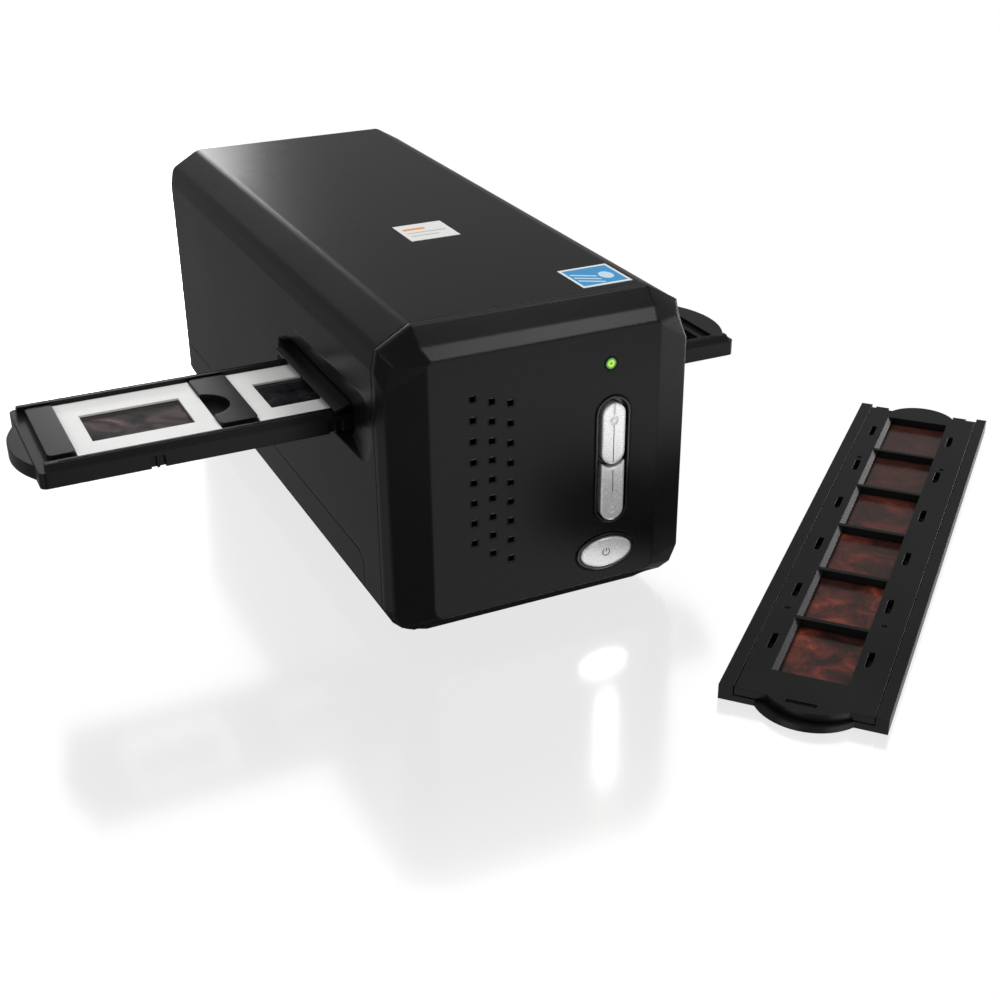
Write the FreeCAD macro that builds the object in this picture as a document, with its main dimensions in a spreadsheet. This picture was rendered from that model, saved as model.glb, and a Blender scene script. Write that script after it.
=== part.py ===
import FreeCAD, Part
import Sketcher
import math
import os

# Film negative scanner with its slide holder in the cross slot and its strip holder on the table.
# Millimetres. The pieces are laid out about a point on the table under the middle of the housing,
# and then set about the origin, which lies on the table under the middle of everything. +X is to
# the right and +Y to the rear as seen from the front with its buttons, and +Z is up.

os.makedirs("parts", exist_ok=True)
doc = FreeCAD.newDocument("FilmScanner")

# Driving sizes, one spreadsheet row each

SIZES = {
    # origin: how far to the right and ahead of the point under the housing's middle it lies
    "origin_right": 43.885,
    "origin_ahead": 55.475,
    # housing: overall sizes, walls and seams
    "body_width": 116.0,
    "body_height": 118.4,
    "rear_reach": 134.0,
    "face_reach": 134.0,
    "bezel_depth": 14.0,
    "wall": 2.2,
    "seam_gap": 0.25,
    "fit_gap": 0.3,
    "cut_overrun": 2.0,
    "crown_round": 5.0,
    # base tray: the low strip that shows at the sides, its floor and its bosses
    "strip_level": 27.0,
    "strip_front": 17.0,
    "strip_round": 6.0,
    "tray_boss_radius": 5.0,
    "chassis_boss_radius": 4.0,
    "chassis_floor_level": 8.0,
    # front bezel: its bevel towards the face, and its inner walls
    "bezel_rim": 2.6,
    "bezel_bevel": 5.1,
    "bezel_wall": 3.4,
    "bezel_crease_set": 1.4,
    "lip_reach": 2.6,
    "lip_wall": 1.6,
    # feet
    "foot_radius": 6.0,
    "foot_sink": 0.8,
    "foot_inset": 26.0,
    "foot_front": 98.0,
    "foot_rear": 110.0,
    "foot_gap": 0.2,
    # case screws and the cover's screw columns
    "screw_inset": 18.0,
    "screw_front": 112.0,
    "screw_rear": 122.0,
    "screw_head_radius": 3.0,
    "screw_head_height": 2.6,
    "screw_head_gap": 0.3,
    "screw_shank_radius": 1.4,
    "screw_shank_length": 39.0,
    "screw_hole_gap": 0.05,
    "screw_seat_level": 6.0,
    "column_radius": 3.5,
    "column_foot_level": 30.0,
    # stickers on the top
    "label_thickness": 0.15,
    "label_side": 20.0,
    "plain_label_centre_x": 0.4,
    "plain_label_ahead": 30.0,
    "blue_label_inset": 25.4,
    "blue_label_ahead": 106.0,
    "blue_label_half": 9.7,
    # side scoop round each slot
    "scoop_depth": 4.0,
    "scoop_top_rear": 17.2,
    "scoop_heel_rear": 36.4,
    "scoop_heel_level": 81.2,
    "scoop_top_front": 53.0,
    "scoop_nose_front": 62.5,
    "scoop_bottom_rear": 42.0,
    "scoop_bottom_front": 51.0,
    "scoop_top_level": 92.0,
    "scoop_top_rear_level": 91.2,
    "scoop_bottom_front_level": 66.0,
    "scoop_bottom_level": 64.0,
    "scoop_back_margin": 2.0,
    "slot_high": 80.2,
    "slot_nose_room": 4.7,
    "slot_front_top_room": 3.3,
    "slot_front_foot_room": 2.5,
    "slot_rear_room": 7.0,
    "slot_rear_top_room": 5.7,
    # slide holder
    "scan_ahead": 55.0,
    "scan_side": 5.0,
    "holder_end": 14.3,
    "holder_width": 59.0,
    "holder_bottom": 67.7,
    "holder_height": 8.0,
    "bay_pitch": 64.0,
    "bay_size": 50.4,
    "bay_light": 42.0,
    "bay_ledge": 4.3,
    "plate_drop": 2.3,
    "bar_drop": 0.5,
    "bar_far_gap": 1.2,
    "bar_near_gap": 5.2,
    "rail_bevel": 2.2,
    "rail_groove_width": 0.8,
    "rail_groove_depth": 0.4,
    "rail_groove_inset": 1.2,
    "finger_radius": 10.4,
    "finger_set": 2.2,
    "finger_shift": 1.5,
    "bar_round": 2.0,
    "holder_end_wall": 4.7,
    "finger_depth": 3.2,
    "grab_half": 19.0,
    "grab_shift": 2.0,
    "grab_reach": 5.5,
    "grab_thickness": 5.2,
    "holder_corner": 2.5,
    "notch_width": 5.0,
    "notch_height": 4.3,
    "notch_depth": 1.5,
    "notch_post": 0.9,
    "notch_post_set": 0.3,
    # slides in the two left bays
    "slide_size": 50.0,
    "slide_thickness": 2.0,
    "slide_window_width": 36.0,
    "slide_window_height": 24.0,
    "slide_film_margin": 1.6,
    "slide_film_gap": 0.1,
    "film_thickness": 0.14,
    # dust flaps
    "flap_hinge_inset": 8.5,
    "flap_hinge_drop": 0.4,
    "flap_reach": 11.0,
    "flap_thickness": 1.2,
    "flap_knuckle_radius": 1.6,
    "flap_rest_gap": 0.35,
    "flap_front_gap": 1.6,
    "flap_rear_gap": 0.4,
    "flap_pin_radius": 0.9,
    "flap_bore_gap": 0.05,
    "lug_length": 2.4,
    "lug_gap": 0.3,
    "lug_radius": 2.1,
    # front controls: surround, its two buttons, power button and lens
    "control_inset": 32.4,
    "surround_low": 35.5,
    "surround_drop": 33.9,
    "surround_radius": 6.7,
    "surround_rim": 0.8,
    "surround_proud": 0.4,
    "surround_floor_rise": 0.2,
    "surround_floor": 1.0,
    "surround_flange": 1.0,
    "surround_flange_depth": 0.5,
    "control_fit": 0.15,
    "button_radius": 4.45,
    "button_proud": 0.9,
    "button_gap": 0.2,
    "button_flange": 0.6,
    "button_flange_depth": 0.8,
    "button_travel": 0.8,
    "tip_reach": 1.6,
    "upper_drop": 2.5,
    "lower_rise": 1.1,
    "between_buttons": 1.4,
    "mark_width": 0.5,
    "mark_length": 4.2,
    "mark_depth": 0.2,
    "mark_ring_radius": 1.5,
    "mark_rise": 2.6,
    "power_inset": 34.3,
    "power_z": 23.8,
    "power_half_width": 10.2,
    "power_half_height": 5.6,
    "power_gap": 0.25,
    "power_ring": 1.2,
    "power_flange": 0.8,
    "lens_inset": 33.8,
    "lens_drop": 21.5,
    "lens_radius": 2.1,
    "lens_flange": 0.9,
    "led_radius": 1.5,
    # vents in the bezel
    "vent_size": 2.2,
    "vent_left_inset": 30.0,
    "vent_middle_inset": 37.0,
    "vent_right_inset": 43.9,
    "vent_left_drop": 24.9,
    "vent_middle_drop": 27.1,
    "vent_right_drop": 28.9,
    "vent_left_pitch": 7.74,
    "vent_middle_pitch": 7.2,
    "vent_right_pitch": 7.43,
    # key board behind the controls
    "key_board_set": 6.8,
    "board_thickness": 1.6,
    "key_board_reach": 13.6,
    "key_board_inset": 19.0,
    "key_board_low": 15.0,
    "key_board_drop": 16.4,
    "switch_half": 3.0,
    "switch_height": 3.5,
    "plunger_radius": 1.6,
    "plunger_gap": 0.1,
    "board_post_radius": 2.2,
    "board_post_inset": 2.6,
    "board_post_left_inset": 3.4,
    "board_post_low": 32.0,
    "board_post_drop": 10.0,
    "small_head_radius": 2.0,
    "small_head_height": 1.4,
    "small_shank_radius": 0.9,
    "small_shank_length": 5.6,
    # chassis
    "chassis_side_gap": 3.3,
    "chassis_front": 106.0,
    "chassis_rear": 116.0,
    "chassis_floor": 3.0,
    "chassis_wall": 2.5,
    "chassis_wall_front": 92.0,
    "chassis_wall_mid": 18.0,
    "chassis_back_wall": 40.0,
    "board_level": 82.0,
    "chassis_screw_inset": 7.5,
    "chassis_screw_front": 89.6,
    "chassis_screw_rear": 92.0,
    "frame_head_radius": 2.6,
    "frame_head_height": 1.8,
    "frame_shank_radius": 1.2,
    "frame_shank_length": 5.5,
    "post_half": 5.0,
    "post_length": 6.0,
    "post_top": 6.0,
    # holder track
    "track_gap": 0.3,
    "track_thickness": 3.0,
    "track_rail": 5.2,
    "track_rail_inset": 4.5,
    "track_lip": 2.0,
    "track_lip_height": 1.5,
    "gate_width": 40.0,
    "gate_height": 30.0,
    "track_screw_inset": 1.3,
    "track_screw_set": 2.7,
    "detent_thickness": 0.6,
    "detent_half_length": 15.0,
    "detent_low": 0.8,
    "detent_height": 3.0,
    "detent_nub_half": 1.5,
    "detent_gap": 0.5,
    # guide rods and carriage
    "rod_inset": 12.5,
    "rod_level": 26.0,
    "rod_radius": 3.0,
    "rod_gap": 0.05,
    "bushing_radius": 5.0,
    "bushing_length": 12.0,
    "bushing_reach": 60.0,
    "bushing_block_half": 6.0,
    "bushing_block_drop": 6.5,
    "tray_inset": 4.5,
    "tray_front": 78.0,
    "tray_rear": 84.0,
    "tray_level": 32.0,
    "tray_thickness": 3.0,
    "mirror_length": 50.0,
    "mirror_width": 20.0,
    "mirror_thickness": 2.0,
    "optic_level": 49.0,
    "cheek_thickness": 2.5,
    "cheek_half_width": 11.0,
    "cheek_top": 61.5,
    "barrel_radius": 11.0,
    "barrel_bore": 8.6,
    "barrel_front": 5.0,
    "barrel_length": 25.0,
    "barrel_gap": 0.05,
    "saddle_half": 15.0,
    "saddle_front": 10.0,
    "saddle_length": 14.0,
    "lens_element_radius": 8.5,
    "lens_element_thickness": 2.6,
    "lens_element_pitch": 9.0,
    "sensor_board_inset": 9.0,
    "sensor_board_low": 38.0,
    "sensor_board_high": 66.0,
    "sensor_board_set": 6.0,
    "sensor_end_gap": 5.0,
    "sensor_half_height": 4.0,
    "sensor_depth": 2.0,
    "standoff_inset": 6.0,
    "standoff_half": 3.0,
    "standoff_length": 6.5,
    "standoff_top": 60.0,
    "sensor_screw_level": 54.0,
    # lamp arm and lamp
    "arm_width": 6.0,
    "arm_half_depth": 4.0,
    "arm_foot_reach": 10.0,
    "arm_foot_thickness": 2.5,
    "arm_foot_screw": 7.4,
    "arm_beam": 6.0,
    "arm_tongue_half": 10.0,
    "arm_tongue_thickness": 2.5,
    "lamp_side_gap": 3.0,
    "lamp_front": 70.0,
    "lamp_wall": 2.0,
    "lamp_gap": 0.3,
    "diffuser_thickness": 1.6,
    "led_bar_half_width": 5.0,
    "led_bar_inset": 5.0,
    "led_bar_height": 2.4,
    "lamp_screw_front": 60.0,
    "lamp_screw_rear": 15.0,
    # belt drive
    "belt_centre_x": 10.0,
    "belt_width": 4.0,
    "belt_thickness": 0.8,
    "belt_gap": 0.1,
    "drive_level": 20.0,
    "drive_y": 104.0,
    "idler_y": 92.0,
    "pulley_radius": 5.0,
    "pulley_flange_radius": 6.2,
    "pulley_flange": 0.8,
    "pulley_side_gap": 0.2,
    "axle_radius": 1.5,
    "axle_gap": 0.05,
    "tooth_module": 0.4,
    "tooth_addendum": 0.3,
    "tooth_dedendum": 0.48,
    "tooth_thinning": 0.05,
    "gear_width": 3.0,
    "gear_gap": 0.5,
    "pinion_shift_y": 9.6,
    "pinion_shift_z": 4.0,
    "pinion_extra": 0.4,
    "motor_shaft_radius": 1.0,
    "motor_radius": 11.0,
    "motor_length": 18.0,
    "motor_ear_reach": 13.5,
    "motor_ear_half": 3.0,
    "motor_ear_thickness": 1.2,
    "motor_ear_screw": 1.1,
    "ear_head_radius": 2.2,
    "ear_head_height": 1.2,
    "bracket_thickness": 2.0,
    "bracket_front": 7.0,
    "bracket_rear": 16.6,
    "bracket_foot": 1.6,
    "bracket_foot_reach": 7.0,
    "bracket_foot_half": 8.0,
    "bracket_foot_ahead": 3.0,
    "bracket_screw_half": 5.0,
    "idler_cheek": 1.8,
    "idler_cheek_half": 7.8,
    "idler_cheek_rise": 4.0,
    "idler_plate": 1.4,
    "spring_radius": 2.4,
    "spring_wire_radius": 0.35,
    "spring_turns": 5.0,
    "spring_gap": 0.2,
    "spring_wall": 1.5,
    "spring_wall_half": 7.0,
    "spring_wall_height": 15.0,
    "clamp_length": 14.0,
    "clamp_side": 1.6,
    "clamp_jaw": 1.0,
    "clamp_gap": 0.3,
    # main board, its chips, sockets and cables
    "main_board_inset": 0.5,
    "main_board_front": 30.0,
    "main_board_rear": 116.0,
    "tongue_inset": 14.5,
    "tongue_rear": 129.0,
    "board_screw_inset": 1.3,
    "board_screw_front": 45.0,
    "board_screw_rear": 105.0,
    "chip_large": 14.0,
    "chip_small": 7.0,
    "chip_height": 1.6,
    "chip_front": 52.0,
    "chip_pitch": 22.0,
    "chip_left": 24.0,
    "chip_right": 20.0,
    "socket_set": 0.5,
    "socket_depth": 16.0,
    "data_socket_x": 20.0,
    "data_socket_half": 6.0,
    "data_socket_height": 10.9,
    "data_mouth_half": 4.2,
    "data_mouth_height": 7.8,
    "data_mouth_depth": 9.0,
    "data_tongue_half": 2.8,
    "data_tongue_height": 3.2,
    "power_socket_x": 13.0,
    "power_socket_half": 4.5,
    "power_socket_height": 11.0,
    "power_mouth_radius": 3.0,
    "power_pin_radius": 1.0,
    "cable_thickness": 0.6,
    "cable_inset": 11.6,
    "cable_width": 10.0,
    "cable_rise": 0.9125,
    "cable_tail": 8.0,
    "cable_gap": 0.1,
    "carriage_cable_half": 8.0,
    "carriage_cable_drop": 7.0,
    "carriage_cable_reach": 18.0,
    # strip holder, along its own width and length
    "strip_place_x": 29.3,
    "strip_place_ahead": 202.8,
    "strip_turn": 48.13,
    "strip_width": 56.6,
    "strip_length": 253.4,
    "strip_height": 5.6,
    "strip_floor": 2.4,
    "lid_left": 5.3,
    "lid_right": 52.0,
    "lid_gap": 0.3,
    "lid_lift": 0.2,
    "lid_far_end": 250.5,
    "hinge_along": 251.3,
    "lid_pin_radius": 0.9,
    "lid_pin_gap": 0.06,
    "lid_pin_grip": 1.6,
    "hinge_tongue_left": 7.0,
    "hinge_tongue_right": 47.8,
    "hinge_tongue_width": 5.8,
    "window_left": 16.2,
    "window_right": 40.4,
    "window_length": 36.0,
    "window_first": 15.4,
    "window_slope_width": 2.0,
    "window_slope_depth": 1.4,
    "frame_pitch": 38.0,
    "film_width": 35.0,
    "film_length": 228.0,
    "film_first": 14.4,
    "film_side_gap": 0.2,
    "film_channel": 0.3,
    "sprocket_left": 10.4,
    "sprocket_right": 44.2,
    "sprocket_length": 10.7,
    "sprocket_width": 2.2,
    "dimple_radius": 1.2,
    "dimple_depth": 0.5,
    "dimple_near": 57.0,
    "dimple_far": 193.4,
    "dimple_left": 10.0,
    "dimple_right": 44.8,
    "far_bump_left": 14.5,
    "far_bump_right": 41.6,
    "far_bump_reach": 7.6,
    "far_bump_height": 3.9,
    "near_bump_left": 12.5,
    "near_bump_right": 45.5,
    "near_bump_reach": 8.6,
    "lid_bump_left": 16.0,
    "lid_bump_right": 44.0,
    "lid_bump_reach": 6.0,
    "recess_left": 22.7,
    "recess_right": 33.3,
    "recess_width": 2.0,
    "recess_depth": 0.8,
    "recess_along": 0.9,
}

# Corners of the housing's outline in one half, from the crown down to the belly. Each pair is how
# far the corner lies inside the half width, and how far it lies below the top (the first three)
# or above the table (the last four). The bezel's crease and face are two more such outlines.
CORNERS = ["crown", "shoulder", "cheek", "side", "skirt", "keel", "belly"]
UPPER = CORNERS[:3]
OUTLINES = {
    "case": [(13.7, 0.0), (1.5, 7.1), (0.0, 14.4), (0.0, 14.0), (2.5, 8.5), (7.5, 4.5), (15.5, 2.3)],
    "crease": [(13.9, 5.9), (4.5, 10.4), (0.7, 19.4), (0.7, 16.0), (3.5, 9.5), (8.0, 7.5), (15.5, 7.4)],
    "face": [(15.7, 9.2), (14.6, 9.7), (14.3, 10.9), (14.3, 16.0), (15.0, 13.5), (16.5, 12.3),
             (18.0, 12.0)],
}
for outline_name, pairs in OUTLINES.items():
    for corner, (inset, level) in zip(CORNERS, pairs):
        SIZES[f"{outline_name}_{corner}_inset"] = inset
        SIZES[f"{outline_name}_{corner}_level"] = level

GEAR_TEETH = 40
PINION_TEETH = 12
PRESSURE_ANGLE = 20.0
BAYS = 4
NOSE_STEPS = 10
SLOT_ROUND_SHARE = 0.96
FRAMES = 6
FILLED_BAYS = [0, 1]
DIAGONAL_SHARE = math.sqrt(2) / 2

sheet = doc.addObject("Spreadsheet::Sheet", "Sizes")
for row, (alias, number) in enumerate(SIZES.items(), start=1):
    sheet.set(f"A{row}", alias)
    sheet.set(f"B{row}", str(number))
    sheet.setAlias(f"B{row}", alias)
doc.recompute()


# Sizes that know their own formula in the sheet

class Size:
    """A length with its value now and the formula that gives it from the sheet."""

    def __init__(self, value, formula):
        self.value = value
        self.formula = formula

    def __add__(self, other):
        other = size(other)
        return Size(self.value + other.value, f"({self.formula} + {other.formula})")

    def __sub__(self, other):
        other = size(other)
        return Size(self.value - other.value, f"({self.formula} - {other.formula})")

    def __mul__(self, other):
        other = size(other)
        return Size(self.value * other.value, f"({self.formula} * {other.formula})")

    def __truediv__(self, other):
        other = size(other)
        return Size(self.value / other.value, f"({self.formula} / {other.formula})")

    def __radd__(self, other):
        return size(other) + self

    def __rsub__(self, other):
        return size(other) - self

    def __rmul__(self, other):
        return size(other) * self

    def __neg__(self):
        return size(0) - self


def size(number):
    """A plain number, such as a half or a zero, as a Size."""
    if isinstance(number, Size):
        return number
    return Size(float(number), repr(float(number)))


class Names:
    """Reads a named size of the sheet, as in s.wall."""

    def __getattr__(self, alias):
        return Size(float(sheet.get(alias)), f"Sizes.{alias}")


s = Names()


def bind(obj, places):
    """Bind properties of an object to their formulas; a plain zero needs none."""
    for path, value in places.items():
        value = size(value)
        if value.formula != "0.0":
            obj.setExpression(path, value.formula)


# Shapes

AXIS_TURNS = {
    "X": FreeCAD.Rotation(FreeCAD.Vector(0, 1, 0), 90),
    "Y": FreeCAD.Rotation(FreeCAD.Vector(1, 0, 0), -90),
    "Z": FreeCAD.Rotation(),
}
PLANE_NORMALS = {"XY": "z", "XZ": "y", "YZ": "x"}


def block(name, xs, ys, zs):
    """A box between two places along each axis."""
    obj = doc.addObject("Part::Box", name)
    bind(obj, {
        "Length": xs[1] - xs[0],
        "Width": ys[1] - ys[0],
        "Height": zs[1] - zs[0],
        "Placement.Base.x": xs[0],
        "Placement.Base.y": ys[0],
        "Placement.Base.z": zs[0],
    })
    return obj


def rod(name, axis, centre, ends, radius):
    """A cylinder along an axis; centre gives its two other coordinates in X, Y, Z order."""
    obj = doc.addObject("Part::Cylinder", name)
    obj.Placement = FreeCAD.Placement(FreeCAD.Vector(), AXIS_TURNS[axis])
    across = [letter for letter in "XYZ" if letter != axis]
    bind(obj, {
        "Radius": radius,
        "Height": ends[1] - ends[0],
        f"Placement.Base.{axis.lower()}": ends[0],
        f"Placement.Base.{across[0].lower()}": centre[0],
        f"Placement.Base.{across[1].lower()}": centre[1],
    })
    return obj


def outline_sketch(body, name, plane, points):
    """A closed sketch on one of the body's own planes, each corner held by two bound distances."""
    points = [(size(a), size(b)) for a, b in points]
    sketch = body.newObject("Sketcher::SketchObject", name)
    features = body.Origin.OriginFeatures
    sketch.AttachmentSupport = [(next(f for f in features if f.Role == f"{plane}_Plane"), "")]
    sketch.MapMode = "FlatFace"
    corners = [FreeCAD.Vector(a.value, b.value, 0) for a, b in points]
    count = len(corners)
    for i in range(count):
        sketch.addGeometry(Part.LineSegment(corners[i], corners[(i + 1) % count]), False)
    for i in range(count):
        sketch.addConstraint(Sketcher.Constraint("Coincident", i, 2, (i + 1) % count, 1))
    for i, (a, b) in enumerate(points):
        for kind, axis, value in (("DistanceX", -2, a), ("DistanceY", -1, b)):
            if value.formula == "0.0":
                sketch.addConstraint(Sketcher.Constraint("PointOnObject", i, 1, axis))
            else:
                index = sketch.addConstraint(Sketcher.Constraint(kind, -1, 1, i, 1, value.value))
                sketch.setExpression(f"Constraints[{index}]", value.formula)
    return sketch


def round_edges(body, name, plane, places, radius):
    """Fillet the padded edges that stand on the given corners of the sketch."""
    doc.recompute()
    tip = body.Tip
    axes = [letter.lower() for letter in plane]
    chosen = []
    for number, edge in enumerate(tip.Shape.Edges, start=1):
        ends = [[getattr(v.Point, axis) for axis in axes] for v in edge.Vertexes]
        for a, b in places:
            corner = [size(a).value, size(b).value]
            if len(ends) == 2 and all(math.dist(end, corner) < 1e-4 for end in ends):
                chosen.append(f"Edge{number}")
    fillet = body.newObject("PartDesign::Fillet", name)
    fillet.Base = (tip, chosen)
    bind(fillet, {"Radius": radius})
    return fillet


def prism(name, plane, points, start, length, rounds=()):
    """A padded outline that begins at start along the plane's normal axis."""
    body = doc.addObject("PartDesign::Body", name)
    sketch = outline_sketch(body, f"{name}_outline", plane, points)
    pad = body.newObject("PartDesign::Pad", f"{name}_pad")
    pad.Profile = sketch
    pad.Reversed = plane == "XZ"
    bind(pad, {"Length": length})
    bind(body, {f"Placement.Base.{PLANE_NORMALS[plane]}": start})
    for number, (places, radius) in enumerate(rounds, start=1):
        round_edges(body, f"{name}_round_{number}", plane, places, radius)
    return body


def loft(name, plane, sections):
    """A straight-sided loft through outlines that lie at given places along the normal."""
    body = doc.addObject("PartDesign::Body", name)
    sketches = []
    for number, (place, points) in enumerate(sections, start=1):
        sketch = outline_sketch(body, f"{name}_section_{number}", plane, points)
        facing = -place if plane == "XZ" else place
        bind(sketch, {"AttachmentOffset.Base.z": facing})
        sketches.append(sketch)
    feature = body.newObject("PartDesign::AdditiveLoft", f"{name}_loft")
    feature.Profile = sketches[0]
    feature.Sections = sketches[1:]
    feature.Ruled = True
    return body


def fuse(name, shapes):
    if len(shapes) == 1:
        return shapes[0]
    obj = doc.addObject("Part::MultiFuse", name)
    obj.Shapes = shapes
    obj.Refine = True
    return obj


def common(name, shapes):
    obj = doc.addObject("Part::MultiCommon", name)
    obj.Shapes = shapes
    return obj


def cut(name, base, tools):
    """Take away tools that don't meet each other, all at once."""
    obj = doc.addObject("Part::Cut", name)
    obj.Base = base
    obj.Tool = tools[0] if len(tools) == 1 else group(f"{name}_tools", tools)
    obj.Refine = True
    return obj


def cut_each(name, base, tools):
    """Take away tools that meet each other, one after the other."""
    for number, tool in enumerate(tools, start=1):
        base = cut(f"{name}_{number}", base, [tool])
    return base


def group(name, shapes):
    """Separate solids that share one node."""
    obj = doc.addObject("Part::Compound", name)
    obj.Links = shapes
    return obj


def obround(name, centre_x, lows_highs, radius, ys):
    """An upright slot shape that faces the front."""
    low, high = lows_highs
    middle = block(f"{name}_middle", (centre_x - radius, centre_x + radius), ys,
                   (low + radius, high - radius))
    lower = rod(f"{name}_lower", "Y", (centre_x, low + radius), ys, radius)
    upper = rod(f"{name}_upper", "Y", (centre_x, high - radius), ys, radius)
    return fuse(name, [middle, lower, upper])


def oval(name, centre, half_width, half_height, ys):
    """An elliptical disc that faces the front."""
    ellipse = doc.addObject("Part::Ellipse", f"{name}_ellipse")
    ellipse.Placement = FreeCAD.Placement(FreeCAD.Vector(), FreeCAD.Rotation(FreeCAD.Vector(1, 0, 0), 90))
    bind(ellipse, {
        "MajorRadius": half_width,
        "MinorRadius": half_height,
        "Placement.Base.x": centre[0],
        "Placement.Base.y": ys[0],
        "Placement.Base.z": centre[1],
    })
    solid = doc.addObject("Part::Extrusion", name)
    solid.Base = ellipse
    solid.DirMode = "Custom"
    solid.Dir = FreeCAD.Vector(0, 1, 0)
    solid.Solid = True
    bind(solid, {"LengthFwd": ys[1] - ys[0]})
    return solid


def bump(name, along, middle, half, edge, reach, outward, zs):
    """An arched tab that reaches out from a straight edge along X or Y."""
    arc = (half * half + reach * reach) / (reach * 2)
    centre = edge + (reach - arc) * outward
    near = edge - s.cut_overrun * outward / 2
    far = edge + reach * outward
    ends = (near, far) if outward > 0 else (far, near)
    sides = (middle - half, middle + half)
    if along == "X":
        disc = rod(f"{name}_disc", "Z", (middle, centre), zs, arc)
        window = block(f"{name}_window", sides, ends, zs)
    else:
        disc = rod(f"{name}_disc", "Z", (centre, middle), zs, arc)
        window = block(f"{name}_window", ends, sides, zs)
    return common(name, [disc, window])


def span(side, low, high):
    """A range that is mirrored to the left when side is -1."""
    return (low, high) if side > 0 else (-high, -low)


nodes = {}


def node(name, obj):
    """Register an object as the sub-part that carries this name, and set it about the origin."""
    if any("Placement" in path for path, _ in obj.ExpressionEngine):
        obj.Label = f"{name}_solid"
        obj = group(name, [obj])
    obj.Label = name
    bind(obj, {"Placement.Base.x": -s.origin_right, "Placement.Base.y": s.origin_ahead})
    nodes[name] = obj
    return obj


def side_name(side):
    return "right" if side > 0 else "left"


# Places that several pieces share

half = s.body_width / 2
top = s.body_height
rear = s.rear_reach
face = -s.face_reach
seam = face + s.bezel_depth
over = s.cut_overrun
inner_face = face + s.wall
scan_y = -s.scan_ahead
holder_near = scan_y - s.holder_width / 2
holder_far = scan_y + s.holder_width / 2
holder_top = s.holder_bottom + s.holder_height
track_top = s.holder_bottom - s.track_gap
track_bottom = track_top - s.track_thickness
slot_low = track_top - s.track_gap
ledge_level = s.holder_bottom + s.bay_ledge
frame_floor_top = s.chassis_floor_level + s.chassis_floor
LAMP_SHARES = {"bottom": 0.205, "top": 0.55}
BUTTON_SPLIT_SHARE = 0.51
screw_side = half - s.screw_inset
foot_side = half - s.foot_inset
chassis_half = half - s.scoop_depth - s.wall - s.chassis_side_gap
chassis_screw_side = chassis_half - s.chassis_screw_inset
rod_side = chassis_half - s.rod_inset
tray_half = chassis_half - s.tray_inset
track_rail_half = chassis_half - s.track_rail_inset
main_board_half = chassis_half - s.main_board_inset
tongue_half = chassis_half - s.tongue_inset
sensor_board_half = tray_half - s.sensor_board_inset
standoff_side = sensor_board_half - s.standoff_inset
sensor_half = standoff_side - s.standoff_half - s.sensor_end_gap
arm_right = tray_half
arm_left = tray_half - s.scan_side * 2
lamp_half = arm_right - s.scan_side - s.arm_width - s.lamp_side_gap
led_bar_half = lamp_half - s.led_bar_inset
lamp_room = top - s.wall - holder_top
lamp_bottom = holder_top + lamp_room * LAMP_SHARES["bottom"]
arm_top = holder_top + lamp_room * LAMP_SHARES["top"]
control_x = half - s.control_inset
power_x = half - s.power_inset
lens_x = half - s.lens_inset
lens_z = top - s.lens_drop
surround_high = top - s.surround_drop
upper_high = surround_high - s.upper_drop
lower_low = s.surround_low + s.lower_rise
lower_tip = s.surround_low + (surround_high - s.surround_low) * BUTTON_SPLIT_SHARE
upper_low = lower_tip - s.tip_reach
key_board_left = control_x - s.key_board_reach
key_board_right = half - s.key_board_inset
key_board_high = top - s.key_board_drop
board_post_left = key_board_left + s.board_post_left_inset
board_post_right = key_board_right - s.board_post_inset
board_post_high = key_board_high - s.board_post_drop
cable_left = control_x - s.cable_inset
# The key cable crosses a little above the middle between the lamp arm and the roof.
cable_top = (arm_top + top - s.wall) / 2 + s.cable_rise
screw_places = [(side, place) for side in (-1, 1) for place in (-s.screw_front, s.screw_rear)]


def outline(kind, inset):
    """Closed outline of the housing or of the bezel's crease or face, moved inwards by inset."""
    right = []
    for corner in CORNERS:
        x = half - getattr(s, f"{kind}_{corner}_inset") - inset
        level = getattr(s, f"{kind}_{corner}_level")
        z = top - level - inset if corner in UPPER else level + inset
        right.append((x, z))
    left = [(-x, z) for x, z in reversed(right)]
    return right + left


def crown_corners():
    return [(half - s.case_crown_inset, top), (s.case_crown_inset - half, top)]


def shoulder_corners():
    x = half - s.case_shoulder_inset
    z = top - s.case_shoulder_level
    return [(x, z), (-x, z)]


# Housing

def tray_region(gap):
    """Side view of what belongs to the base tray: its floor and the low strip behind the front."""
    back = seam + s.strip_front - gap
    sill = s.case_skirt_level + gap
    strip = s.strip_level + gap
    return [
        (seam - over, 0),
        (rear + over, 0),
        (rear + over, strip),
        (back, strip),
        (back, sill),
        (seam - over, sill),
    ]


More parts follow.
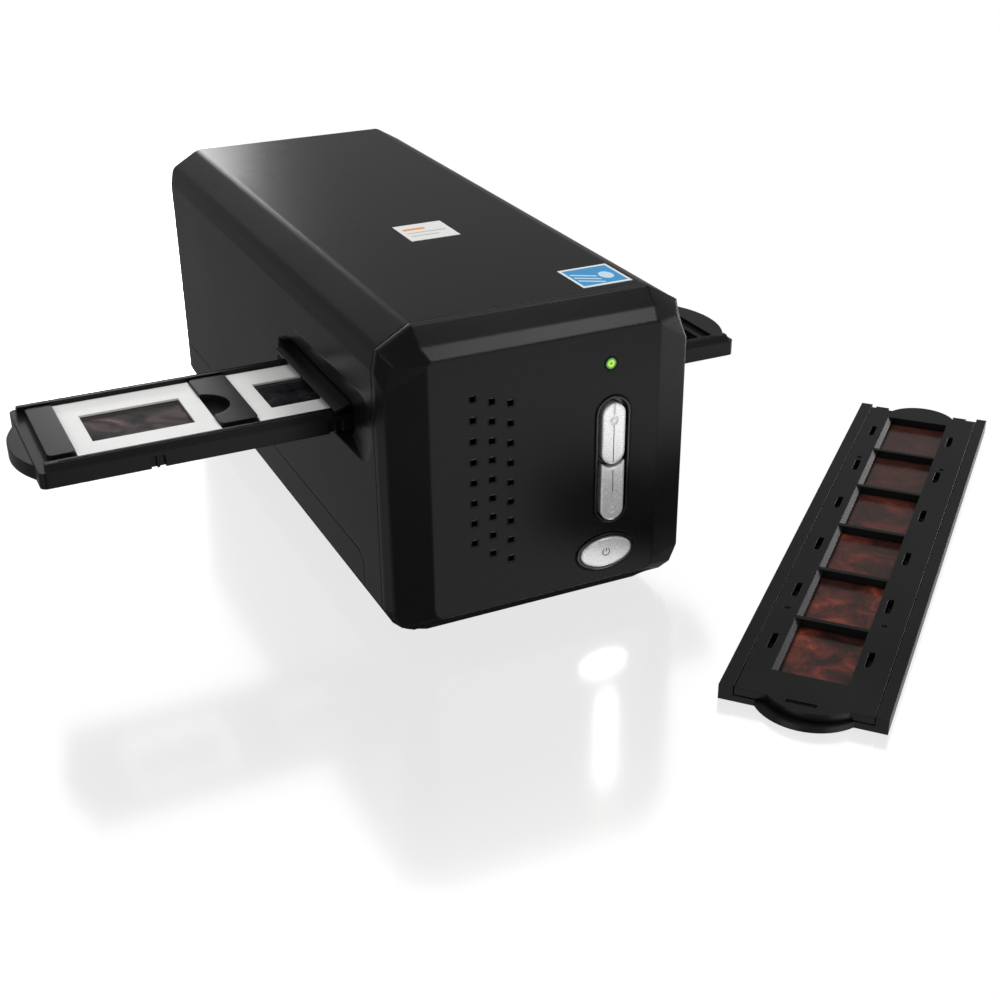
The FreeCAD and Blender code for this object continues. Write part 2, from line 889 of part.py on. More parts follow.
def base_tray():
    outer = prism("tray_outer", "XZ", outline("case", 0), seam, rear - seam)
    inner = prism("tray_inner", "XZ", outline("case", s.wall), seam - over, rear - seam + over * 2)
    ring = cut("tray_ring", outer, [inner])
    corner = tray_region(0)[3]
    low = prism("tray_low", "YZ", tray_region(0), -half - over, s.body_width + over * 2,
                [([corner], s.strip_round)])
    shell = common("tray_shell", [ring, low])
    floor = s.case_belly_level + s.wall
    bosses = []
    holes = []
    for side, place in screw_places:
        x = screw_side * side
        low_end = s.case_belly_level
        bosses.append(rod("tray_boss", "Z", (x, place),
                          (floor - s.wall / 2, s.column_foot_level - s.fit_gap),
                          s.tray_boss_radius))
        holes.append(rod("tray_head_hole", "Z", (x, place), (low_end - over, s.screw_seat_level),
                         s.screw_head_radius + s.screw_head_gap))
        holes.append(rod("tray_screw_hole", "Z", (x, place), (s.screw_seat_level, s.column_foot_level),
                         s.screw_shank_radius + s.screw_hole_gap))
    for side in (-1, 1):
        x = chassis_screw_side * side
        for y in (-s.chassis_screw_front, s.chassis_screw_rear):
            bosses.append(rod("chassis_boss", "Z", (x, y), (floor - s.wall / 2, s.chassis_floor_level),
                              s.chassis_boss_radius))
            holes.append(rod("chassis_boss_hole", "Z", (x, y),
                             (frame_floor_top - s.frame_shank_length, frame_floor_top),
                             s.frame_shank_radius + s.screw_hole_gap))
        for y in (-s.foot_front, s.foot_rear):
            holes.append(rod("foot_recess", "Z", (foot_side * side, y),
                             (0, s.case_belly_level + s.foot_sink), s.foot_radius + s.foot_gap))
    node("base_tray", cut("base_tray", fuse("tray_body", [shell] + bosses), holes))


def nose(high, tip, low):
    """Points round the front end of the scoop: half an ellipse from high to low, out to tip along Y."""
    points = []
    for step in range(NOSE_STEPS + 1):
        share = step / NOSE_STEPS
        rise_share = round(math.cos(math.pi * share) / 2, 6)
        reach_share = round(math.sin(math.pi * share), 6)
        y = high[0] + (low[0] - high[0]) * share + (tip - (high[0] + low[0]) / 2) * reach_share
        points.append((y, (high[1] + low[1]) / 2 + (high[1] - low[1]) * rise_share))
    return points


def scoop_outer():
    high = (scan_y - s.scoop_top_front, s.scoop_top_level)
    low = (scan_y - s.scoop_bottom_front, s.scoop_bottom_front_level)
    return [
        (scan_y + s.scoop_heel_rear, s.scoop_heel_level),
        (scan_y + s.scoop_top_rear, s.scoop_top_rear_level),
        *nose(high, scan_y - s.scoop_nose_front, low),
        (scan_y + s.scoop_bottom_rear, s.scoop_bottom_level),
    ]


def scoop_inner():
    high = (holder_near - s.slot_front_top_room, s.slot_high)
    low = (holder_near - s.slot_front_foot_room, slot_low)
    return [
        (holder_far + s.slot_rear_top_room, s.slot_high),
        (scan_y + s.scoop_top_rear, s.slot_high),
        *nose(high, holder_near - s.slot_nose_room, low),
        (holder_far + s.slot_rear_room, slot_low),
    ]


def hinge_place(side):
    return (half - s.flap_hinge_inset) * side, s.slot_high - s.flap_hinge_drop


def flap_ends():
    """Where the flaps begin and end along Y."""
    near = holder_near - s.slot_front_top_room + s.flap_front_gap / 2
    return near, holder_far + s.slot_rear_top_room - s.flap_rear_gap


def top_cover():
    length = rear - seam
    outer = prism("cover_outer", "XZ", outline("case", 0), seam, length,
                  [(crown_corners() + shoulder_corners(), s.crown_round)])
    inner = prism("cover_inner", "XZ", outline("case", s.wall), seam - over, length + over * 2)
    columns = [rod("cover_column", "Z", (screw_side * side, place),
                   (s.column_foot_level, top), s.column_radius) for side, place in screw_places]
    columns = common("cover_columns", [outer, group("column_set", columns)])
    ring = cut("cover_ring", outer, [inner])
    floor = half - s.scoop_depth
    backs = []
    tools = []
    openings = []
    front_end, rear_end = flap_ends()
    for side in (-1, 1):
        x_back, z_hinge = hinge_place(side)
        ys = (scan_y - s.scoop_nose_front - s.scoop_back_margin,
              scan_y + s.scoop_bottom_rear + s.scoop_back_margin)
        zs = (s.scoop_bottom_level - s.scoop_back_margin, s.scoop_top_level + s.scoop_back_margin)
        backs.append(block("scoop_back", span(side, floor - s.wall, half - s.wall / 2), ys, zs))
        for lug_ys in ((front_end - s.lug_gap - s.lug_length, front_end - s.lug_gap),
                       (rear_end + s.lug_gap, rear_end + s.lug_gap + s.lug_length)):
            backs.append(rod("flap_lug", "Y", (x_back, z_hinge), lug_ys, s.lug_radius))
            backs.append(block("flap_lug_web", span(side, half - s.flap_hinge_inset, floor - s.wall / 2),
                               lug_ys, (z_hinge - s.lug_radius, z_hinge + s.lug_radius)))
            tools.append(rod("flap_lug_bore", "Y", (x_back, z_hinge),
                             (lug_ys[0] - s.lug_gap, lug_ys[1] + s.lug_gap), s.flap_pin_radius))
        openings.append(loft("scoop_cut", "YZ", [
            ((half + over) * side, scoop_outer()),
            (half * side, scoop_outer()),
            (floor * side, scoop_inner()),
            ((floor - s.wall - over) * side, scoop_inner()),
        ]))
    for side, place in screw_places:
        tools.append(rod("column_hole", "Z", (screw_side * side, place),
                         (s.column_foot_level - over, s.screw_seat_level + s.screw_shank_length + over / 2),
                         s.screw_shank_radius + s.screw_hole_gap))
    corner = tray_region(s.seam_gap)[3]
    tools.append(prism("tray_clear", "YZ", tray_region(s.seam_gap), -half - over, s.body_width + over * 2,
                       [([corner], s.strip_round + s.seam_gap)]))
    body = cut_each("cover_openings", fuse("cover_body", [ring, columns] + backs), openings)
    node("top_cover", cut("top_cover", body, tools))


def rear_panel():
    panel = prism("panel_plate", "XZ", outline("case", s.wall + s.seam_gap), rear - s.wall, s.wall)
    ys = (rear - s.wall - over, rear + over)
    low = board_top
    gap = s.seam_gap
    data = block("panel_data_hole",
                 (-s.data_socket_x - s.data_socket_half - gap, -s.data_socket_x + s.data_socket_half + gap),
                 ys, (low - gap, low + s.data_socket_height + gap))
    power = block("panel_power_hole",
                  (s.power_socket_x - s.power_socket_half - gap,
                   s.power_socket_x + s.power_socket_half + gap),
                  ys, (low - gap, low + s.power_socket_height + gap))
    node("rear_panel", cut("rear_panel", panel, [data, power]))


board_top = s.board_level + s.board_thickness


def front_bezel():
    front_seam = seam - s.seam_gap
    rim = seam - s.bezel_rim
    crease = face + s.bezel_bevel
    outer = loft("bezel_outer", "XZ", [
        (front_seam, outline("case", 0)),
        (rim, outline("case", 0)),
        (crease, outline("crease", 0)),
        (face, outline("face", 0)),
    ])
    cavity = loft("bezel_cavity", "XZ", [
        (front_seam + over, outline("case", s.bezel_wall)),
        (rim, outline("case", s.bezel_wall)),
        (crease + s.bezel_crease_set, outline("crease", s.bezel_wall)),
        (inner_face, outline("face", s.bezel_wall)),
    ])
    shell = cut("bezel_shell", outer, [cavity])
    lip_inset = s.wall + s.seam_gap
    lip_start = rim
    lip_length = s.bezel_rim + s.lip_reach
    lip_outer = prism("lip_outer", "XZ", outline("case", lip_inset), lip_start, lip_length)
    lip_inner = prism("lip_inner", "XZ", outline("case", lip_inset + s.lip_wall), lip_start - over,
                      lip_length + over * 2)
    lip = cut("bezel_lip", lip_outer, [lip_inner])
    notch_zs = (s.scoop_bottom_level - s.scoop_back_margin - s.fit_gap,
                s.scoop_top_level + s.scoop_back_margin + s.fit_gap)
    notches = [block("lip_notch", span(side, half - s.scoop_depth - s.wall - over, half),
                     (seam - over / 10, seam + s.lip_reach + over), notch_zs) for side in (-1, 1)]
    lip = cut("bezel_lip_notched", lip, notches)
    posts = [rod("board_post", "Y", place, (inner_face - s.wall / 2, key_board_front), s.board_post_radius)
             for place in key_post_places()]
    ys = (face - over, inner_face + over)
    tools = []
    for side, columns, first, pitch, count in (
        (-1, (half - s.vent_left_inset), (top - s.vent_left_drop), s.vent_left_pitch, 8),
        (-1, (half - s.vent_middle_inset), (top - s.vent_middle_drop), s.vent_middle_pitch, 9),
        (-1, (half - s.vent_right_inset), (top - s.vent_right_drop), s.vent_right_pitch, 9),
    ):
        x = columns * side
        for i in range(count):
            z = first - pitch * i
            tools.append(block("vent", (x - s.vent_size / 2, x + s.vent_size / 2), ys,
                               (z - s.vent_size / 2, z + s.vent_size / 2)))
    fit = s.control_fit
    tools.append(obround("surround_hole", control_x, (s.surround_low - fit, surround_high + fit),
                         s.surround_radius + fit, ys))
    tools.append(oval("ring_hole", (power_x, s.power_z),
                      s.power_half_width + s.power_gap + s.power_ring + fit,
                      s.power_half_height + s.power_gap + s.power_ring + fit, ys))
    tools.append(rod("lens_hole", "Y", (lens_x, lens_z), ys, s.lens_radius + fit))
    for place in key_post_places():
        tools.append(rod("post_hole", "Y", place,
                         (key_board_front + s.board_thickness - s.small_shank_length,
                          key_board_front + over),
                         s.small_shank_radius + s.screw_hole_gap))
    node("front_bezel", cut("front_bezel", fuse("bezel_body", [shell, lip] + posts), tools))


key_board_front = inner_face + s.key_board_set


def key_post_places():
    return [(board_post_right, s.board_post_low), (board_post_right, board_post_high),
            (board_post_left, (s.board_post_low + board_post_high) / 2)]


def rubber_feet():
    feet = [rod("foot", "Z", (foot_side * side, y), (0, s.case_belly_level + s.foot_sink), s.foot_radius)
            for side in (-1, 1) for y in (-s.foot_front, s.foot_rear)]
    node("rubber_feet", group("rubber_feet", feet))


def screw(name, axis, centre, seat, outward, head_radius, head_height, shank_radius, shank_length):
    """A pan-head screw whose head stands on its seat; outward is the way the head faces."""
    head_end = seat + head_height * outward
    shank_end = seat - shank_length * outward
    head_ends = (seat, head_end) if outward > 0 else (head_end, seat)
    shank_ends = (shank_end, seat) if outward > 0 else (seat, shank_end)
    head = rod(f"{name}_head", axis, centre, head_ends, head_radius)
    shank = rod(f"{name}_shank", axis, centre, shank_ends, shank_radius)
    return fuse(name, [head, shank])


def case_screws():
    screws = [screw("case_screw", "Z", (screw_side * side, place), s.screw_seat_level, -1,
                    s.screw_head_radius, s.screw_head_height, s.screw_shank_radius, s.screw_shank_length)
              for side, place in screw_places]
    node("case_screws", group("case_screws", screws))


def top_labels():
    zs = (top, top + s.label_thickness)
    for name, x, ahead, half_width in (
        ("plain_label", s.plain_label_centre_x, s.plain_label_ahead, s.label_side / 2),
        ("blue_label", (half - s.blue_label_inset), s.blue_label_ahead, s.blue_label_half),
    ):
        node(name, block(name, (x - half_width, x + half_width),
                         (-ahead - s.label_side / 2, -ahead + s.label_side / 2), zs))


# Front controls

surround_back = inner_face + s.surround_floor_rise + s.surround_flange_depth


def button_surround():
    front = face - s.surround_proud
    floor_front = surround_back - s.surround_floor
    cup = obround("surround_cup", control_x, (s.surround_low, surround_high), s.surround_radius,
                  (front, surround_back))
    grow = s.surround_flange
    flange = obround("surround_edge", control_x, (s.surround_low - grow, surround_high + grow),
                     s.surround_radius + grow, (inner_face + s.surround_floor_rise, surround_back))
    rim = s.surround_rim
    hollow = obround("surround_hollow", control_x, (s.surround_low + rim, surround_high - rim),
                     s.surround_radius - rim, (front - over, floor_front))
    gap = s.button_gap
    through = (floor_front - over, surround_back + over)
    hole = obround("surround_button_hole", control_x, (lower_low - gap, upper_high + gap),
                   s.button_radius + gap, through)
    bridge_low, bridge_high = lower_tip, upper_low + s.button_radius
    bridge = obround_bridge(through, bridge_low, bridge_high)
    opening = cut("surround_openings", hole, [bridge])
    body = fuse("surround_body", [cup, flange])
    node("button_surround", cut_each("button_surround", body, [hollow, opening]))


def obround_bridge(ys, low, high):
    """The curved strip of the surround's floor between the two buttons."""
    centre = (control_x, upper_low + s.button_radius)
    outer = rod("bridge_outer", "Y", centre, ys, s.button_radius + s.between_buttons - s.button_gap)
    inner = rod("bridge_inner", "Y", centre, ys, s.button_radius + s.button_gap)
    wide = s.button_radius + s.button_gap + s.surround_rim
    above = block("bridge_above", (control_x - wide, control_x + wide), (ys[0] - over, ys[1] + over),
                  (high, high + surround_high))
    return cut_each("surround_bridge", outer, [inner, above])


def button_mark(name, z):
    """A short engraved line over a small engraved ring, in the cap's front."""
    front = face - s.button_proud
    ys = (front - over, front + s.mark_depth)
    x = control_x
    line = block(f"{name}_line", (x - s.mark_width / 2, x + s.mark_width / 2), ys,
                 (z + s.mark_rise, z + s.mark_rise + s.mark_length))
    disc = rod(f"{name}_disc", "Y", (x, z), ys, s.mark_ring_radius)
    core = rod(f"{name}_core", "Y", (x, z), (ys[0] - over, ys[1] + over), s.mark_ring_radius - s.mark_width)
    return [line, cut(f"{name}_ring", disc, [core])]


def scan_buttons():
    front = face - s.button_proud
    flange_front = surround_back + s.button_gap
    radius = s.button_radius
    grow = s.button_flange
    x = control_x
    cap_ys = (front, flange_front + s.button_flange_depth)
    flange_ys = (flange_front, flange_front + s.button_flange_depth)
    upper = obround("upper_cap", x, (upper_low, upper_high), radius, cap_ys)
    ears = [block("upper_ear", (x + radius * side - grow, x + radius * side + grow), flange_ys,
                  (upper_low + radius, upper_high - radius)) for side in (-1, 1)]
    marks = button_mark("upper_mark", upper_high - radius * 3 / 2)
    node("upper_scan_button", cut("upper_scan_button", fuse("upper_body", [upper] + ears), marks))
    lower_top = lower_tip + radius
    whole = obround("lower_cap", x, (lower_low, lower_top + radius), radius, cap_ys)
    wide = radius + grow
    long_ys = (front - over, flange_ys[1] + over)
    hollow = rod("lower_hollow", "Y", (x, upper_low + radius), long_ys, radius + s.between_buttons)
    above = block("lower_above", (x - wide, x + wide), long_ys, (lower_tip, surround_high + surround_high))
    ears = [block("lower_ear", (x + radius * side - grow, x + radius * side + grow), flange_ys,
                  (lower_low + radius, lower_tip - radius)) for side in (-1, 1)]
    marks = button_mark("lower_mark", lower_low + radius)
    shaped = cut_each("lower_shape", fuse("lower_body", [whole] + ears), [hollow, above])
    node("lower_scan_button", cut("lower_scan_button", shaped, marks))


def power_control():
    place = (power_x, s.power_z)
    wide, high = s.power_half_width, s.power_half_height
    gap, ring = s.power_gap, s.power_ring
    front = face - s.surround_proud
    outer = oval("ring_outer", place, wide + gap + ring, high + gap + ring, (front, surround_back))
    flange = oval("ring_flange", place, wide + gap + ring + s.power_flange,
                  high + gap + ring + s.power_flange,
                  (inner_face + s.surround_floor_rise, surround_back))
    hole = oval("ring_inner", place, wide + gap, high + gap, (front - over, surround_back + over))
    node("power_button_ring", cut("power_button_ring", fuse("ring_body", [outer, flange]), [hole]))
    back = surround_back + s.button_gap
    cap = oval("power_cap", place, wide, high, (face - s.button_proud, back + s.button_flange_depth))
    edge = oval("power_edge", place, wide + gap + s.power_flange, high + gap + s.power_flange,
                (back, back + s.button_flange_depth))
    node("power_button", fuse("power_button", [cap, edge]))


def status_light():
    place = (lens_x, lens_z)
    lens = rod("lens_front", "Y", place, (face - s.surround_proud / 2, surround_back), s.lens_radius)
    flange = rod("lens_edge", "Y", place, (inner_face + s.surround_floor_rise, surround_back),
                 s.lens_radius + s.lens_flange)
    node("status_lens", fuse("status_lens", [lens, flange]))
    node("status_led", rod("status_led", "Y", place, (surround_back + s.fit_gap, key_board_front),
                           s.led_radius))


def key_board():
    xs = (key_board_left, key_board_right)
    ys = (key_board_front, key_board_front + s.board_thickness)
    plate = block("key_plate", xs, ys, (s.key_board_low, key_board_high))
    holes = [rod("key_plate_hole", "Y", place, (ys[0] - over, ys[1] + over),
                 s.small_shank_radius + s.screw_hole_gap) for place in key_post_places()]
    node("key_board", cut("key_board", plate, holes))
    switches = []
    back = surround_back + s.button_gap + s.button_flange_depth
    plunger_front = back + s.button_travel + s.plunger_gap
    for x, z in ((control_x, (upper_low + upper_high) / 2),
                 (control_x, (lower_low + lower_tip) / 2), (power_x, s.power_z)):
        box = block("switch_box", (x - s.switch_half, x + s.switch_half),
                    (key_board_front - s.switch_height, key_board_front),
                    (z - s.switch_half, z + s.switch_half))
        plunger = rod("switch_plunger", "Y", (x, z), (plunger_front, key_board_front), s.plunger_radius)
        switches.append(fuse("key_switch", [box, plunger]))
    node("key_switches", group("key_switches", switches))


def board_screws():
    size_args = (s.small_head_radius, s.small_head_height, s.small_shank_radius, s.small_shank_length)
    back = key_board_front + s.board_thickness
    screws = [screw("key_board_screw", "Y", place, back, 1, *size_args) for place in key_post_places()]
    for x, y in board_screw_places():
        screws.append(screw("main_board_screw", "Z", (x, y), board_top, 1, *size_args))
    node("board_screws", group("board_screws", screws))


def board_screw_places():
    x = chassis_half - s.board_screw_inset
    return [(x * side, y) for side in (-1, 1) for y in (s.board_screw_front, s.board_screw_rear)]


# Dust flaps

def dust_flap(side):
    name = f"{side_name(side)}_dust_flap"
    front_end, rear_end = flap_ends()
    ys = (front_end, rear_end)
    thick = s.flap_thickness
    plate = block(f"{name}_plate", span(side, size(0), s.flap_reach), ys, (-thick / 2, thick / 2))
    knuckle = rod(f"{name}_knuckle", "Y", (size(0), size(0)), ys, s.flap_knuckle_radius)
    bore = rod(f"{name}_bore", "Y", (size(0), size(0)), (front_end - over, rear_end + over),
               s.flap_pin_radius + s.flap_bore_gap)
    flap = cut(name, fuse(f"{name}_body", [plate, knuckle]), [bore])
    x, z = hinge_place(side)
    drop = z - holder_top - s.flap_rest_gap - thick / 2
    angle = math.degrees(math.asin(drop.value / s.flap_reach.value))
    flap.Placement = FreeCAD.Placement(FreeCAD.Vector(),
                                       FreeCAD.Rotation(FreeCAD.Vector(0, side, 0), angle))
    flap.setExpression("Placement.Rotation.Angle", f"asin({drop.formula} / {s.flap_reach.formula})")
    bind(flap, {"Placement.Base.x": x, "Placement.Base.z": z})
    node(name, flap)


def steel_pins():
    """The two hinge pins of the dust flaps and the axle of the belt pulley."""
    front_end, rear_end = flap_ends()
    pins = []
    reach = s.lug_gap + s.lug_length
    for side in (-1, 1):
        pins.append(rod("flap_pin", "Y", hinge_place(side), (front_end - reach, rear_end + reach),
                        s.flap_pin_radius))
    outer_end = belt_left - s.pulley_side_gap * 2 - s.pulley_flange
    pins.append(rod("pulley_axle", "X", (s.drive_y, s.drive_level),
                    (outer_end, bracket_back - s.pulley_side_gap),
                    s.axle_radius))
    node("steel_pins", group("steel_pins", pins))


# Chassis and holder track

def optics_chassis():
    edge = chassis_half
    front, back = -s.chassis_front, s.chassis_rear
    solids = [block("chassis_plate", (-edge, edge), (front, back),
                    (s.chassis_floor_level, frame_floor_top))]
    low = frame_floor_top - s.chassis_floor / 2
    tools = []
    for side in (-1, 1):
        wall_xs = span(side, edge - s.chassis_wall, edge)
        solids.append(block("track_wall", wall_xs, (-s.chassis_wall_front, -s.chassis_wall_mid),
                            (low, track_bottom)))
        solids.append(block("board_wall", wall_xs, (s.chassis_back_wall, back), (low, s.board_level)))
        x = rod_side * side
        for ys in ((front, front + s.post_length), (back - s.post_length, back)):
            solids.append(block("rod_post", (x - s.post_half, x + s.post_half), ys,
                                (low, s.rod_level + s.post_top)))
        tools.append(rod("rod_hole", "Y", (x, s.rod_level), (front - over, back + over),
                         s.rod_radius + s.rod_gap))
        for y in (-s.chassis_screw_front, s.chassis_screw_rear):
            tools.append(rod("chassis_hole", "Z", (chassis_screw_side * side, y),
                             (s.chassis_floor_level - over, frame_floor_top + over),
                             s.frame_shank_radius + s.screw_hole_gap))
    for x, y in track_screw_places():
        tools.append(rod("track_wall_hole", "Z", (x, y), (track_top - s.small_shank_length, track_top),
                         s.small_shank_radius + s.screw_hole_gap))
    for x, y in board_screw_places():
        tools.append(rod("board_wall_hole", "Z", (x, y), (board_top - s.small_shank_length, board_top),
                         s.small_shank_radius + s.screw_hole_gap))
    for x, y in bracket_screw_places():
        tools.append(rod("bracket_floor_hole", "Z", (x, y),
                         (s.chassis_floor_level - over, frame_floor_top + over),
                         s.motor_ear_screw + s.screw_hole_gap))
    spring_xs = (belt_x - s.spring_wall_half, belt_x + s.spring_wall_half)
    solids.append(block("spring_wall", spring_xs, (front, front + s.spring_wall),
                        (low, frame_floor_top + s.spring_wall_height)))
    node("optics_chassis", cut("optics_chassis", fuse("chassis_body", solids), tools))


def track_screw_places():
    x = chassis_half - s.track_screw_inset
    return [(x * side, y) for side in (-1, 1)
            for y in (holder_near - s.track_screw_set, holder_far + s.track_screw_set)]


def bracket_screw_places():
    x = motor_back + s.bracket_foot_reach - s.bracket_foot_ahead
    y = pinion_y - s.bracket_foot_half + s.bracket_foot_ahead / 2
    return [(x, y), (x, y - s.bracket_screw_half)]


def holder_track():
    edge = chassis_half
    gap = s.track_gap
    rail_near = holder_near - gap - s.track_rail
    rail_far = holder_far + gap + s.track_rail
    solids = [block("track_plate", (-edge, edge), (rail_near, rail_far), (track_bottom, track_top))]
    rail_xs = (-track_rail_half, track_rail_half)
    low = track_top - s.track_thickness / 2
    lip_low = holder_top + gap
    rail_top = lip_low + s.track_lip_height
    solids.append(block("near_rail", rail_xs, (rail_near, holder_near - gap), (low, rail_top)))
    solids.append(block("far_rail", rail_xs, (holder_far + gap, rail_far), (low, rail_top)))
    solids.append(block("near_lip", rail_xs, (rail_near, holder_near - gap + s.track_lip),
                        (lip_low, rail_top)))
    solids.append(block("far_lip", rail_xs, (holder_far + gap - s.track_lip, rail_far),
                        (lip_low, rail_top)))
    gate = block("track_gate", (s.scan_side - s.gate_width / 2, s.scan_side + s.gate_width / 2),
                 (scan_y - s.gate_height / 2, scan_y + s.gate_height / 2),
                 (track_bottom - over, track_top + over))
    tools = [gate]
    for x, y in track_screw_places():
        tools.append(rod("track_hole", "Z", (x, y), (track_bottom - over, track_top + over),
                         s.small_shank_radius + s.screw_hole_gap))
    nub = s.detent_nub_half + s.detent_gap
    low_z = s.holder_bottom + s.detent_low
    tools.append(block("detent_hole", (s.scan_side - nub, s.scan_side + nub),
                       (rail_near - over, holder_near - gap + over / 2),
                       (low_z - s.detent_gap, low_z + s.detent_height + s.detent_gap)))
    node("holder_track", cut("holder_track", fuse("track_body", solids), tools))
    x = s.scan_side
    zs = (low_z, low_z + s.detent_height)
    leaf = block("detent_leaf", (x - s.detent_half_length, x + s.detent_half_length),
                 (rail_near - s.detent_thickness, rail_near), zs)
    tip = block("detent_tip", (x - s.detent_nub_half, x + s.detent_nub_half),
                (rail_near - s.detent_thickness, holder_near - gap), zs)
    node("detent_spring", fuse("detent_spring", [leaf, tip]))


def chassis_screws():
    frame = (s.frame_head_radius, s.frame_head_height, s.frame_shank_radius, s.frame_shank_length)
    small = (s.small_head_radius, s.small_head_height, s.small_shank_radius, s.small_shank_length)
    screws = []
    for side in (-1, 1):
        for y in (-s.chassis_screw_front, s.chassis_screw_rear):
            screws.append(screw("chassis_screw", "Z", (chassis_screw_side * side, y), frame_floor_top, 1,
                                *frame))
    for x, y in track_screw_places():
        screws.append(screw("track_screw", "Z", (x, y), track_top, 1, *small))
    node("chassis_screws", group("chassis_screws", screws))


def guide_rods():
    ends = (-s.chassis_front, s.chassis_rear)
    rods = [rod("guide_rod", "Y", (rod_side * side, s.rod_level), ends, s.rod_radius) for side in (-1, 1)]
    node("guide_rods", group("guide_rods", rods))


# Scanning carriage

tray_top = s.tray_level + s.tray_thickness


def bushing_ends():
    middle = s.bushing_length / 2
    return [(place * way - middle, place * way + middle) for way in (-1, 1) for place in (s.bushing_reach,)]


def scan_carriage():
    low, high = s.tray_level, tray_top
    solids = [block("carriage_plate", (-tray_half, tray_half), (-s.tray_front, s.tray_rear), (low, high))]
    tools = []
    for side in (-1, 1):
        x = rod_side * side
        for ends in bushing_ends():
            solids.append(block("bushing_block", (x - s.bushing_block_half, x + s.bushing_block_half), ends,
                                (s.rod_level - s.bushing_block_drop, low + s.tray_thickness / 2)))
        tools.append(rod("bushing_bore", "Y", (x, s.rod_level),
                         (-s.bushing_reach - s.bushing_length, s.bushing_reach + s.bushing_length),
                         s.bushing_radius))
        inner = s.mirror_length / 2 + s.fit_gap
        outer = inner + s.cheek_thickness
        cheek_xs = tuple(s.scan_side + part for part in span(side, inner, outer))
        solids.append(block("mirror_cheek", cheek_xs,
                            (scan_y - s.cheek_half_width, scan_y + s.cheek_half_width),
                            (high - s.tray_thickness / 2, s.cheek_top)))
        x = s.scan_side + standoff_side * side
        back = sensor_board_front
        solids.append(block("sensor_standoff", (x - s.standoff_half, x + s.standoff_half),
                            (back - s.standoff_length, back),
                            (high - s.tray_thickness / 2, s.standoff_top)))
        tools.append(rod("standoff_hole", "Y", (x, s.sensor_screw_level),
                         (back + s.board_thickness - s.small_shank_length, back + over),
                         s.small_shank_radius + s.screw_hole_gap))
    for x, y in arm_screw_places():
        tools.append(rod("arm_screw_hole", "Z", (x, y), (low - over, high + over),
                         s.small_shank_radius + s.screw_hole_gap))
    saddle = block("lens_saddle", (s.scan_side - s.saddle_half, s.scan_side + s.saddle_half),
                   (s.saddle_front, s.saddle_front + s.saddle_length),
                   (high - s.tray_thickness / 2, s.optic_level))
    solids.append(saddle)
    tools.append(rod("saddle_bore", "Y", (s.scan_side, s.optic_level),
                     (s.saddle_front - over, s.saddle_front + s.saddle_length + over),
                     s.barrel_radius + s.barrel_gap))
    node("scan_carriage", cut("scan_carriage", fuse("carriage_body", solids), tools))


sensor_board_front = s.tray_rear - s.sensor_board_set


def arm_screw_places():
    places = []
    for x in (-arm_left + s.arm_width / 2, arm_right - s.arm_width / 2):
        for way in (-1, 1):
            places.append((x, s.arm_foot_screw * way))
    return places


def carriage_bushings():
    sleeves = []
    for side in (-1, 1):
        for ends in bushing_ends():
            centre = (rod_side * side, s.rod_level)
            sleeve = rod("bushing_sleeve", "Y", centre, ends, s.bushing_radius)
            bore = rod("bushing_hole", "Y", centre, (ends[0] - over, ends[1] + over),
                       s.rod_radius + s.rod_gap)
            sleeves.append(cut("bushing", sleeve, [bore]))
    node("carriage_bushings", group("carriage_bushings", sleeves))


def lamp_arm():
    solids = []
    foot_low = tray_top
    for xs in ((-arm_left, -arm_left + s.arm_width), (arm_right - s.arm_width, arm_right)):
        solids.append(block("arm_post", xs, (-s.arm_half_depth, s.arm_half_depth), (foot_low, arm_top)))
        solids.append(block("arm_foot", xs, (-s.arm_foot_reach, s.arm_foot_reach),
                            (foot_low, foot_low + s.arm_foot_thickness)))
    solids.append(block("arm_beam", (-arm_left, arm_right), (-s.arm_half_depth, s.arm_half_depth),
                        (arm_top - s.arm_beam, arm_top)))
    solids.append(block("arm_tongue", (s.scan_side - s.arm_tongue_half, s.scan_side + s.arm_tongue_half),
                        (-s.lamp_front, s.arm_half_depth), (arm_top, arm_top + s.arm_tongue_thickness)))
    tools = [rod("arm_hole", "Z", (x, y), (foot_low - over, foot_low + s.arm_foot_thickness + over),
                 s.small_shank_radius + s.screw_hole_gap) for x, y in arm_screw_places()]
    for y in (-s.lamp_screw_front, -s.lamp_screw_rear):
        tools.append(rod("tongue_hole", "Z", (s.scan_side, y), (arm_top - over, arm_top + over * 2 + over),
                         s.small_shank_radius + s.screw_hole_gap))
    node("lamp_arm", cut("lamp_arm", fuse("arm_body", solids), tools))


